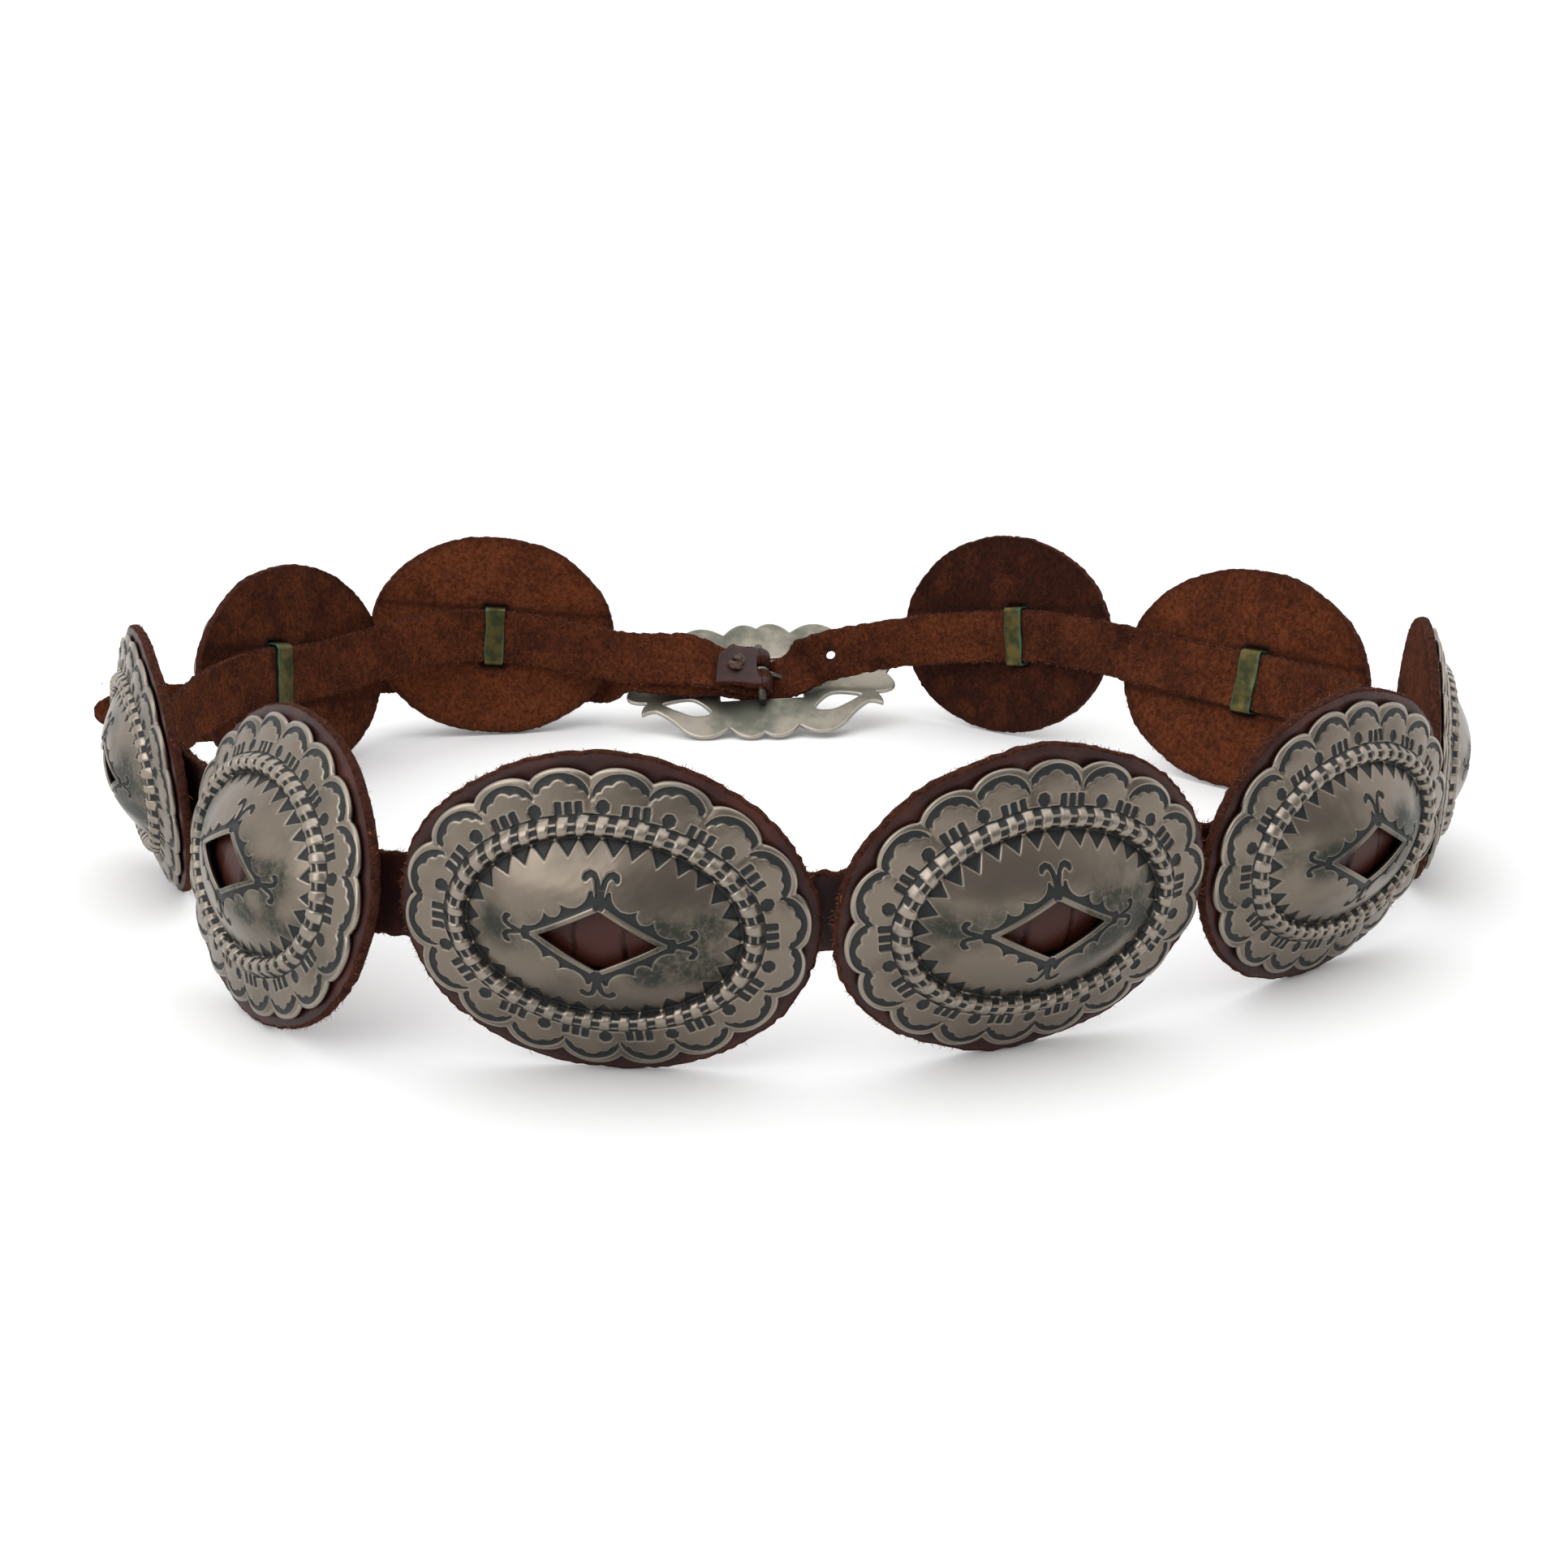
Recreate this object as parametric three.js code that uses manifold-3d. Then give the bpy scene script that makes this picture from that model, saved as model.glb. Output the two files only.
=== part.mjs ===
// A concho belt standing on its edge in a ring, fastened. Ten domed oval silver conchos, each over an oval
// of leather, are threaded on one leather strap by a brass loop soldered behind each. The strap's one end
// is folded round the bar of an open silver buckle, its other end runs through the buckle as a free tail.
// Millimetres, +Z up, +Y towards the buckle. Origin at the centre of the box round the belt, at its base.
import * as THREE from 'three';
import { mergeVertices } from 'three/addons/utils/BufferGeometryUtils.js';
import Module from 'manifold-3d';

const wasm = await Module();
wasm.setup();

// Clearance kept between pieces that touch
const clearance = 0.35;

// Concho: stamped oval sheet, scalloped rim, raised ring, high dome, diamond hole
const conchoLength = 89;
const conchoHeight = 70;
const silverThick = 1.2;
const scallopCount = 18;
const scallopDepth = 2.2;
const ringLength = 64.2;
const ringHeight = 45.5;
const ringWidth = 4.6;
const ringRise = 2;
const flangeLift = 2.8;
const domeFoot = 0.4;
const domeRise = 8.6;
const diamondLength = 25.8;
const diamondHeight = 14.1;

// Leather oval behind each concho, with a pressed-up boss behind the diamond
const marginEnd = 1.25;
const marginTop = 2.2;
const discThick = 3;
const bossLength = 16;
const bossRise = 6;

// Strap and the brass loops that it runs through
const strapWidth = 19;
const strapThick = 2.6;
const loopWidth = 7;
const loopMetal = 1;
const loopSlack = 0.5;
const layerGap = 0.5;

// Buckle: a flat pierced plate with an upright bar behind its opening
const buckleLength = 105;
const buckleHeight = 57.6;
const buckleThick = 2;
const openingLength = 32;
const openingSlack = 0.8;
const barRadius = 1.5;
const barDrop = 4.2;
const barFoot = 4;

// Tongue, lace and the strap's ends
const tongueRadius = 0.9;
const tongueOverlap = 3;
const slotWidth = 4;
const holeDiameter = 3.6;
const holeSpacing = 18.5;
const flapLength = 21;
const flapChamfer = 6;
const laceReach = 13;
const laceRadius = 1.3;
const knotRadius = 3.2;
const knotThick = 2.6;
const tailPastB = 57;

// Room between one leather oval and the next along the ring
const discGap = 4;

const discLength = conchoLength + 2 * marginEnd;
const discHeight = conchoHeight + 2 * marginTop;
const pitch = discLength + discGap;
const loopInside = strapWidth + 2 * loopSlack;
const loopMiddle = (loopInside + loopMetal) / 2;
const strapLevel = -(discThick + clearance + strapThick / 2);
const layerStep = strapThick + layerGap;

// Where each concho stands in the ring. across and along are shares of the pitch from the ring's middle.
// turn is the way that it faces, in degrees anticlockwise from +X, lean tips its top inwards and roll
// turns it in its own plane. slip moves its loop along the oval, as a share of the oval's length.
const stations = [
  { across: -1.160, along: 1.488, turn: 101.0, lean: -9.0, roll: 6.0, slip: 0 },
  { across: -1.776, along: 0.812, turn: 155.6, lean: -2.7, roll: 9.9, slip: 0.12 },
  { across: -1.886, along: -0.260, turn: 208.0, lean: -1.5, roll: -4.0, slip: 0 },
  { across: -1.263, along: -1.150, turn: 221.2, lean: 15.8, roll: -4.2, slip: 0 },
  { across: -0.398, along: -1.521, turn: 265.3, lean: -2.9, roll: -4.4, slip: 0 },
  { across: 0.564, along: -1.432, turn: 290.5, lean: -6.7, roll: -0.4, slip: 0 },
  { across: 1.412, along: -0.966, turn: 305.8, lean: -3.7, roll: -0.2, slip: 0 },
  { across: 1.945, along: -0.143, turn: 345.5, lean: 1.5, roll: 0.6, slip: 0 },
  { across: 1.646, along: 0.775, turn: 46.1, lean: -12.2, roll: 0.4, slip: -0.05 },
  { across: 0.889, along: 1.479, turn: 49.3, lean: -4.0, roll: -8.0, slip: -0.08 },
];
const buckleStation = { across: -0.096, along: 1.569, turn: 91.0, lean: -55.0, roll: -3.6 };

// A frame standing at a station: x along the belt, y up the piece, z out of the ring
function stationFrame({ across, along, turn, lean, roll }, height) {
  const yaw = THREE.MathUtils.degToRad(turn);
  const tip = THREE.MathUtils.degToRad(lean);
  const out = new THREE.Vector3(
    Math.cos(yaw) * Math.cos(tip), Math.sin(yaw) * Math.cos(tip), Math.sin(tip));
  const level = new THREE.Vector3(-Math.sin(yaw), Math.cos(yaw), 0);
  const up = new THREE.Vector3().crossVectors(out, level);
  const turnInPlane = new THREE.Matrix4().makeRotationZ(THREE.MathUtils.degToRad(roll));
  const frame = new THREE.Matrix4().makeBasis(level, up, out).multiply(turnInPlane);
  frame.setPosition(across * pitch, along * pitch, height);
  return frame;
}

const at = (frame, x, y, z) => new THREE.Vector3(x, y, z).applyMatrix4(frame);
const aim = (frame, x, y, z) => new THREE.Vector3(x, y, z).transformDirection(frame);

// Height of a leather oval's centre when its lowest point touches the floor
function standingHeight(station) {
  const m = stationFrame(station, 0).elements;
  const reach = Math.hypot(m[2] * discLength / 2, m[6] * discHeight / 2);
  return reach + Math.max(0, m[10]) * discThick;
}

function toSolid(geometry) {
  const bare = geometry.clone();
  bare.deleteAttribute('normal');
  bare.deleteAttribute('uv');
  const mesh = mergeVertices(bare, 1e-4);
  return new wasm.Manifold(new wasm.Mesh({
    numProp: 3,
    vertProperties: new Float32Array(mesh.attributes.position.array),
    triVerts: new Uint32Array(mesh.index.array),
  }));
}

function toGeometry(solid) {
  const mesh = solid.getMesh();
  const geometry = new THREE.BufferGeometry();
  geometry.setAttribute('position', new THREE.BufferAttribute(new Float32Array(mesh.vertProperties), 3));
  geometry.setIndex(new THREE.BufferAttribute(new Uint32Array(mesh.triVerts), 1));
  geometry.computeVertexNormals();
  return geometry;
}

function meshOf(points, triangles) {
  const geometry = new THREE.BufferGeometry();
  geometry.setAttribute('position', new THREE.Float32BufferAttribute(points.flatMap((p) => p.toArray()), 3));
  geometry.setIndex(triangles);
  return geometry;
}

// A round rod between two points, laid along its own axis
function rodBetween(from, to, radius, sides = 10) {
  const rod = new THREE.CylinderGeometry(radius, radius, from.distanceTo(to), sides);
  const way = new THREE.Vector3().subVectors(to, from).normalize();
  rod.applyQuaternion(new THREE.Quaternion().setFromUnitVectors(new THREE.Vector3(0, 1, 0), way));
  rod.translate((from.x + to.x) / 2, (from.y + to.y) / 2, (from.z + to.z) / 2);
  return rod;
}

// The concho's shell: rings of points, from the diamond out over the dome, the raised ring and the
// flange to the scalloped rim, and back underneath. Neighbouring rings are stitched by their angles.
const ovalSides = 28;
const pointsPerScallop = 3;

function ovalRing(halfLength, halfHeight, level) {
  const ring = [];
  for (let i = 0; i < ovalSides; i++) {
    const angle = 2 * Math.PI * i / ovalSides;
    ring.push(new THREE.Vector3(halfLength * Math.cos(angle), halfHeight * Math.sin(angle), level));
  }
  return ring;
}

function diamondRing(lift) {
  const quarter = ovalSides / 4;
  const ring = [];
  for (let i = 0; i < ovalSides; i++) {
    const side = Math.floor(i / quarter);
    const share = (i % quarter) / quarter;
    const a = side * Math.PI / 2;
    const x = Math.cos(a) * (1 - share) + Math.cos(a + Math.PI / 2) * share;
    const y = Math.sin(a) * (1 - share) + Math.sin(a + Math.PI / 2) * share;
    ring.push(new THREE.Vector3(x * diamondLength / 2, y * diamondHeight / 2, 0));
  }
  return onDome(ring, lift);
}

const footHalfLength = (ringLength - ringWidth) / 2;
const footHalfHeight = (ringHeight - ringWidth) / 2;
const flangeTop = clearance + silverThick;

// The dome falls away from its crown with the square of the distance, as a share of its foot
function onDome(ring, lift) {
  for (const p of ring) {
    const share = (p.x / footHalfLength) ** 2 + (p.y / footHalfHeight) ** 2;
    p.z = flangeTop + flangeLift + domeFoot + domeRise * (1 - share) + lift;
  }
  return ring;
}

function blendRing(inner, outer, share) {
  return inner.map((p, i) => p.clone().lerp(outer[i], share));
}

function rimRing(level) {
  const count = scallopCount * pointsPerScallop;
  const ring = [];
  for (let i = 0; i < count; i++) {
    const angle = 2 * Math.PI * (i - pointsPerScallop / 2) / count;
    const depth = i % pointsPerScallop === 0 ? scallopDepth : 0;
    ring.push(new THREE.Vector3(
      (conchoLength / 2 - depth) * Math.cos(angle), (conchoHeight / 2 - depth) * Math.sin(angle), level));
  }
  return ring;
}

function stitch(points, triangles, a, b) {
  const shareOf = (ring, i) => (ring.start + i) / ring.count;
  let i = 0;
  let j = 0;
  while (i < a.count || j < b.count) {
    const pa = a.first + (i % a.count);
    const pb = b.first + (j % b.count);
    const stepA = j >= b.count || (i < a.count && shareOf(a, i + 1) <= shareOf(b, j + 1));
    if (stepA) {
      triangles.push(pa, pb, a.first + ((i + 1) % a.count));
      i++;
    } else {
      triangles.push(pa, pb, b.first + ((j + 1) % b.count));
      j++;
    }
  }
}

function conchoShell() {
  const foot = (lift) => ovalRing(footHalfLength, footHalfHeight, flangeTop + flangeLift + domeFoot + lift);
  const outer = (lift) => ovalRing(
    (ringLength + ringWidth) / 2, (ringHeight + ringWidth) / 2, flangeTop + flangeLift + lift);
  const crest = ovalRing(ringLength / 2, ringHeight / 2, flangeTop + flangeLift + ringRise);
  const below = -silverThick;
  const rings = [
    diamondRing(0), onDome(blendRing(diamondRing(0), foot(0), 0.55), 0), foot(0), crest, outer(0),
    rimRing(flangeTop), rimRing(flangeTop + below),
    outer(below), foot(below), onDome(blendRing(diamondRing(0), foot(0), 0.55), below), diamondRing(below),
  ];
  const points = rings.flat();
  const triangles = [];
  let first = 0;
  const spans = rings.map((ring) => {
    const span = { first, count: ring.length, start: ring.length === ovalSides ? 0 : -pointsPerScallop / 2 };
    first += ring.length;
    return span;
  });
  spans.forEach((span, i) => stitch(points, triangles, span, spans[(i + 1) % spans.length]));
  return meshOf(points, triangles);
}

// The brass loop: a flat strip bent square, whose two legs go through the leather into the silver's back
function loopStaple(slip, legTop) {
  const half = loopMiddle + loopMetal / 2;
  const floor = strapLevel - strapThick / 2 - clearance;
  const outline = new THREE.Shape();
  outline.moveTo(-half, legTop);
  outline.lineTo(-half, floor - loopMetal);
  outline.lineTo(half, floor - loopMetal);
  outline.lineTo(half, legTop);
  outline.lineTo(half - loopMetal, legTop);
  outline.lineTo(half - loopMetal, floor);
  outline.lineTo(loopMetal - half, floor);
  outline.lineTo(loopMetal - half, legTop);
  outline.closePath();
  const staple = new THREE.ExtrudeGeometry(outline, { depth: loopWidth, bevelEnabled: false });
  staple.translate(0, 0, -loopWidth / 2);
  // outline x runs up the concho and outline y out of it, so the extrusion runs along the belt
  const turned = new THREE.Matrix4().makeBasis(
    new THREE.Vector3(0, 1, 0), new THREE.Vector3(0, 0, 1), new THREE.Vector3(1, 0, 0));
  staple.applyMatrix4(turned);
  staple.translate(slip, 0, 0);
  return staple;
}

// Lowest height of the shell's outer face over one leg of the loop
function shellOverLeg(shell, slip) {
  const caster = new THREE.Raycaster();
  const down = new THREE.Vector3(0, 0, -1);
  const target = new THREE.Mesh(shell, new THREE.MeshBasicMaterial({ side: THREE.DoubleSide }));
  const heights = [];
  for (const x of [slip - loopWidth / 2, slip + loopWidth / 2]) {
    for (const y of [-loopMiddle - loopMetal / 2, loopMiddle + loopMetal / 2]) {
      caster.set(new THREE.Vector3(x, y, conchoHeight), down);
      heights.push(conchoHeight - caster.intersectObject(target)[0].distance);
    }
  }
  return Math.min(...heights);
}

function concho(slip) {
  const shell = conchoShell();
  const legTop = shellOverLeg(shell, slip) - silverThick * 0.35;
  return toGeometry(toSolid(shell).add(toSolid(loopStaple(slip, legTop))));
}

// The leather oval: a flat blank with a round boss, and two slits for the legs of the loop
function backing(slip) {
  const outline = new THREE.Shape();
  outline.absellipse(0, 0, discLength / 2, discHeight / 2, 0, 2 * Math.PI, false, 0);
  const blank = new THREE.ExtrudeGeometry(outline, {
    depth: discThick, bevelEnabled: false, curveSegments: ovalSides / 2 });
  blank.translate(0, 0, -discThick);
  const profile = [[0, -discThick / 2], [1, -discThick / 2], [1, 0], [0.6, bossRise * 0.75], [0, bossRise]];
  const boss = new THREE.LatheGeometry(
    profile.map(([share, level]) => new THREE.Vector2(share * bossLength / 2, level)), 12);
  boss.rotateX(Math.PI / 2);
  let solid = toSolid(blank).add(toSolid(boss));
  for (const side of [-1, 1]) {
    const slit = new THREE.BoxGeometry(
      loopWidth + 2 * clearance, loopMetal + 2 * clearance, 3 * discThick);
    slit.translate(slip, side * loopMiddle, -discThick / 2);
    solid = solid.subtract(toSolid(slit));
  }
  return toGeometry(solid);
}

// Buckle outline: one quarter, clockwise from the cusp at the top, mirrored into the other three.
// x and y are shares of half the length and half the height, and bend is the control point of the curve
// that ends at x, y.
const quarter = [
  { x: 0.253, y: 0.833, bendX: 0.124, bendY: 1.13 },
  { x: 0.600, y: 0.816, bendX: 0.440, bendY: 1.12 },
  { x: 0.781, y: 0.493, bendX: 0.686, bendY: 0.600 },
  { x: 0.886, y: 0.549, bendX: 0.829, bendY: 0.480 },
  { x: 0.848, y: 0.337, bendX: 0.900, bendY: 0.430 },
  { x: 0.943, y: 0, bendX: 1.080, bendY: 0.330 },
];
const cuspTop = 0.938;
const piercing = [
  { x: 0.714, y: 0.358 }, { x: 0.514, y: 0.316 }, { x: 0.387, y: 0.549 },
  { x: 0.500, y: 0.592 }, { x: 0.619, y: 0.493 }, { x: 0.700, y: 0.400 },
];

function quarterPoints() {
  const path = new THREE.Path();
  path.moveTo(0, cuspTop * buckleHeight / 2);
  for (const { x, y, bendX, bendY } of quarter) {
    path.quadraticCurveTo(bendX * buckleLength / 2, bendY * buckleHeight / 2,
      x * buckleLength / 2, y * buckleHeight / 2);
  }
  return path.getPoints(3);
}

function plateShape() {
  const q = quarterPoints();
  const back = q.slice(1, -1).reverse();
  const mirror = (points, sx, sy) => points.map((p) => new THREE.Vector2(p.x * sx, p.y * sy));
  const outline = [
    ...q, ...mirror(back, 1, -1), ...mirror([q[0]], 1, -1),
    ...mirror(q.slice(1), -1, -1), ...mirror(back, -1, 1),
  ];
  const shape = new THREE.Shape(outline.reverse());
  const halfOpening = strapWidth / 2 + openingSlack;
  const opening = [[-1, -1], [1, -1], [1, 1], [-1, 1]].map(
    ([x, y]) => new THREE.Vector2(x * openingLength / 2, y * halfOpening));
  shape.holes.push(new THREE.Path(opening));
  for (const sx of [-1, 1]) {
    for (const sy of [-1, 1]) {
      shape.holes.push(new THREE.Path(piercing.map(
        (p) => new THREE.Vector2(sx * p.x * buckleLength / 2, sy * p.y * buckleHeight / 2))));
    }
  }
  return shape;
}

function buckle() {
  const plate = new THREE.ExtrudeGeometry(plateShape(), { depth: buckleThick, bevelEnabled: false });
  plate.translate(0, 0, -buckleThick / 2);
  let solid = toSolid(plate);
  const reach = strapWidth / 2 + openingSlack + barFoot / 2;
  const ends = [-1, 1].map((side) => new THREE.Vector3(0, side * reach, -barDrop));
  const over = new THREE.Vector3(0, barRadius, 0);
  solid = solid.add(toSolid(rodBetween(ends[0].clone().sub(over), ends[1].clone().add(over), barRadius)));
  for (const end of ends) {
    solid = solid.add(toSolid(rodBetween(end, new THREE.Vector3(0, end.y, 0), barRadius)));
  }
  return toGeometry(solid);
}

// Tongue: a wire eye round the bar and a straight prong whose tip lies on the front of the plate
const eyeRadius = barRadius + clearance + tongueRadius;
const prongStart = new THREE.Vector3(-eyeRadius, 0, -barDrop);
const prongKnee = new THREE.Vector3(
  -openingLength / 2 + tongueRadius, 0, buckleThick / 2 + clearance + 1.3 * tongueRadius);
const prongEnd = prongKnee.clone().setX(-openingLength / 2 - tongueOverlap);

function tongue() {
  const eye = new THREE.TorusGeometry(eyeRadius, tongueRadius, 6, 12);
  eye.rotateX(Math.PI / 2);
  eye.translate(0, 0, -barDrop);
  const bend = new THREE.SphereGeometry(tongueRadius, 8, 6);
  bend.translate(prongKnee.x, prongKnee.y, prongKnee.z);
  return toGeometry(toSolid(eye).add(toSolid(rodBetween(prongStart, prongKnee, tongueRadius, 8)))
    .add(toSolid(bend)).add(toSolid(rodBetween(prongKnee, prongEnd, tongueRadius, 8))));
}

// The strap is a ribbon through a row of keys. A key has a place p, the way ahead t and the way up its
// width w. Between two keys the place follows a cubic with the keys' directions. The width turns smoothly
// from one key's to the next, after a share of the way, hold, in which it stays behind the leather oval.
const pathPull = 0.75;

function ribbon(keys) {
  const sections = [];
  for (let k = 0; k + 1 < keys.length; k++) {
    const [a, b] = [keys[k], keys[k + 1]];
    const span = a.p.distanceTo(b.p);
    const pull = span * pathPull;
    const count = a.steps;
    for (let i = 0; i < count + (k + 2 === keys.length ? 1 : 0); i++) {
      const s = i / count;
      const reachA = a.t.clone().multiplyScalar(pull * (s ** 3 - 2 * s ** 2 + s));
      const reachB = b.t.clone().multiplyScalar(pull * (s ** 3 - s ** 2));
      const p = a.p.clone().multiplyScalar(2 * s ** 3 - 3 * s ** 2 + 1)
        .add(b.p.clone().multiplyScalar(3 * s ** 2 - 2 * s ** 3)).add(reachA).add(reachB);
      const t = a.p.clone().multiplyScalar(6 * s ** 2 - 6 * s).add(b.p.clone().multiplyScalar(6 * s - 6 * s ** 2))
        .add(a.t.clone().multiplyScalar(pull * (3 * s ** 2 - 4 * s + 1)))
        .add(b.t.clone().multiplyScalar(pull * (3 * s ** 2 - 2 * s))).normalize();
      const turned = Math.min(1, Math.max(0, (s - a.hold) / (1 - 2 * a.hold)));
      const ease = turned * turned * (3 - 2 * turned);
      const w = a.w.clone().lerp(b.w, ease);
      w.addScaledVector(t, -w.dot(t)).normalize();
      sections.push({ p, t, w, n: new THREE.Vector3().crossVectors(t, w), up: 1, down: 1 });
    }
  }
  return sections;
}

// Height that every station stands at, and the frames of the conchos and the buckle
const frames = stations.map((station) => stationFrame(station, standingHeight(station)));
const buckleTilt = stationFrame(buckleStation, 0).elements;
const buckleBase = buckleHeight / 2 * Math.abs(buckleTilt[6]) + buckleThick / 2 * Math.abs(buckleTilt[10]);
const buckleFrame = stationFrame(buckleStation, buckleBase);

// A key in the buckle's own frame: twist turns the ribbon from lying on the plate to standing upright,
// and swing and rise are how far its way ahead leaves the plate and climbs it
function buckleKey(x, y, z, twist, swing = 0, rise = 0, steps = 6) {
  const a = THREE.MathUtils.degToRad(twist);
  return {
    p: at(buckleFrame, x, y, z), t: aim(buckleFrame, 1, rise, swing),
    w: aim(buckleFrame, 0, Math.cos(a), -Math.sin(a)), steps, hold: 0,
  };
}

// The strap lies flat behind an oval as it goes in and out of the brass loop
function loopKeys(i) {
  return [-1, 1].map((side) => ({
    p: at(frames[i], stations[i].slip * discLength + side * loopWidth * 0.6, 0, strapLevel),
    t: aim(frames[i], 1, 0, 0), w: aim(frames[i], 0, 1, 0), steps: side < 0 ? 1 : 5, hold: 0.3,
  }));
}

const foldRadius = barRadius + clearance + strapThick / 2;
const mainLevel = -barDrop + foldRadius;
const tailLevel = mainLevel + layerStep;
const underPlate = -(buckleThick / 2 + layerGap + strapThick / 2);

// Distance from the strap's outer layer to the turned-back flap, this far from the bar
function flapDrop(along) {
  const share = Math.min(1, along / flapLength);
  return 2 * foldRadius * (1 - share) + (layerStep + 1.4 * layerGap) * share;
}

function strapSections() {
  // the layer outside the bar, and the turned-back flap laid along its inner side
  const main = ribbon([
    buckleKey(0, 0, mainLevel, 0, 0, 0, 5),
    buckleKey(openingLength * 0.31, 0, -barDrop - layerGap, 2, -0.5, 0, 6),
    buckleKey(openingLength * 0.95, 0.03 * strapWidth, -5.5 * strapThick, 40, -0.1, 0, 4),
    buckleKey(openingLength * 1.45, 0, -6.2 * strapThick, 52, -0.1, 0.1, 6),
    loopKeys(0)[0],
  ]);
  const flap = [];
  let along = 0;
  for (let i = 0; i < main.length && along < flapLength; i++) {
    if (i > 0) along += main[i].p.distanceTo(main[i - 1].p);
    const m = main[i];
    const p = m.p.clone().addScaledVector(m.n, -flapDrop(along));
    flap.push({ ...m, p, t: m.t.clone().negate(), n: m.n.clone().negate() });
  }
  flap.reverse();
  flap[0].up = 1 - 2 * flapChamfer / strapWidth;
  const bend = [];
  const bendSteps = 7;
  for (let i = 1; i < bendSteps; i++) {
    const a = -Math.PI / 2 - Math.PI * i / bendSteps;
    const [c, s] = [Math.cos(a), Math.sin(a)];
    bend.push({
      p: at(buckleFrame, foldRadius * c, 0, -barDrop + foldRadius * s),
      t: aim(buckleFrame, s, 0, -c), w: aim(buckleFrame, 0, 1, 0), n: aim(buckleFrame, c, 0, s), up: 1, down: 1,
    });
  }
  const ring = ribbon([
    ...frames.flatMap((frame, i) => loopKeys(i)),
    buckleKey(-openingLength * 0.62, -0.05 * strapWidth, -4.1 * strapThick, 55, 0.25, -0.25, 8),
    buckleKey(-openingLength * 0.28, 0, -0.6, 6, 0.45, 0, 5),
    buckleKey(0, 0, tailLevel, 0, 0, 0, 6),
    buckleKey(openingLength / 2, 0, underPlate, 0, -0.12, 0, 5),
    buckleKey(openingLength * 0.85, 0.04 * strapWidth, underPlate - layerGap, 4, -0.1, 0.03, 4),
    buckleKey(openingLength * 1.55, 0.08 * strapWidth, underPlate - 2.8 * strapThick, 32, 0, 0.03, 4),
    tailRimKey(-1, 26),
    tailKey(0, tailHeights[0]),
    tailRimKey(1, 0),
    tailKey(1, tailHeights[1]),
    tipKey(),
  ]);
  taperTip(ring);
  return [...flap, ...bend, ...main.slice(0, -1), ...ring];
}

// The tail passes outside the first two conchos, over the lower half of their domes. These are its heights
// above their centres, as shares of the concho's height.
const tailHeights = [-0.216, -0.198];

function tailKey(i, share) {
  const lift = flangeTop + flangeLift + domeFoot + domeRise + strapThick / 2 + layerGap;
  return {
    p: at(frames[i], 0, share * conchoHeight, lift),
    t: aim(frames[i], 1, 0, 0), w: aim(frames[i], 0, 1, 0), steps: 7, hold: 0.2,
  };
}

// Where the tail crosses an end of the first concho's rim, leaning outwards by tip degrees
function tailRimKey(end, tip) {
  const a = THREE.MathUtils.degToRad(tip);
  const lift = flangeTop + flangeLift / 4 + strapThick / 2 + layerGap + Math.sin(a) * strapWidth / 2;
  return {
    p: at(frames[0], end * 0.48 * discLength, tailHeights[0] * conchoHeight, lift),
    t: aim(frames[0], 1, 0, -0.3 * end), w: aim(frames[0], 0, Math.cos(a), Math.sin(a)), steps: 4, hold: 0,
  };
}

function tipKey() {
  const start = tailKey(1, tailHeights[1]);
  const way = aim(frames[1], 0.93, 0.03, 0.34);
  return { p: start.p.clone().addScaledVector(way, tailPastB), t: way, w: aim(frames[1], -0.03, 1, 0.2) };
}

// The tail narrows to a rounded point over its last sections
function taperTip(sections) {
  const shares = [0.28, 0.66, 0.88];
  shares.forEach((share, i) => {
    const section = sections[sections.length - 1 - i];
    section.up = share;
    section.down = share;
  });
}

function strapBody(sections) {
  const points = [];
  for (const { p, w, n, up, down } of sections) {
    for (const [side, face] of [[up, -1], [up, 1], [-down, 1], [-down, -1]]) {
      points.push(p.clone().addScaledVector(w, side * strapWidth / 2).addScaledVector(n, face * strapThick / 2));
    }
  }
  const triangles = [0, 3, 2, 0, 2, 1];
  for (let i = 0; i + 1 < sections.length; i++) {
    for (let k = 0; k < 4; k++) {
      const [a, b] = [4 * i + k, 4 * i + (k + 1) % 4];
      triangles.push(a, b, b + 4, a, b + 4, a + 4);
    }
  }
  const last = 4 * (sections.length - 1);
  triangles.push(last, last + 1, last + 2, last, last + 2, last + 3);
  return meshOf(points, triangles);
}

// A cutter in the buckle's frame
const inBuckle = (geometry) => toSolid(geometry.applyMatrix4(buckleFrame));

// Nearest section of the strap to a distance from the bar, on the given side of the sections' list
function sectionAfter(sections, start, distance) {
  let along = 0;
  let i = start;
  while (along < distance) {
    along += sections[i + 1].p.distanceTo(sections[i].p);
    i++;
  }
  return sections[i];
}

const sections = strapSections();
const strapBar = sections.findIndex((s) => s.p.distanceTo(at(buckleFrame, 0, 0, mainLevel)) < 1e-6);
const laceSection = sectionAfter(sections, strapBar, laceReach);
const laceFlap = flapDrop(laceReach);

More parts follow.
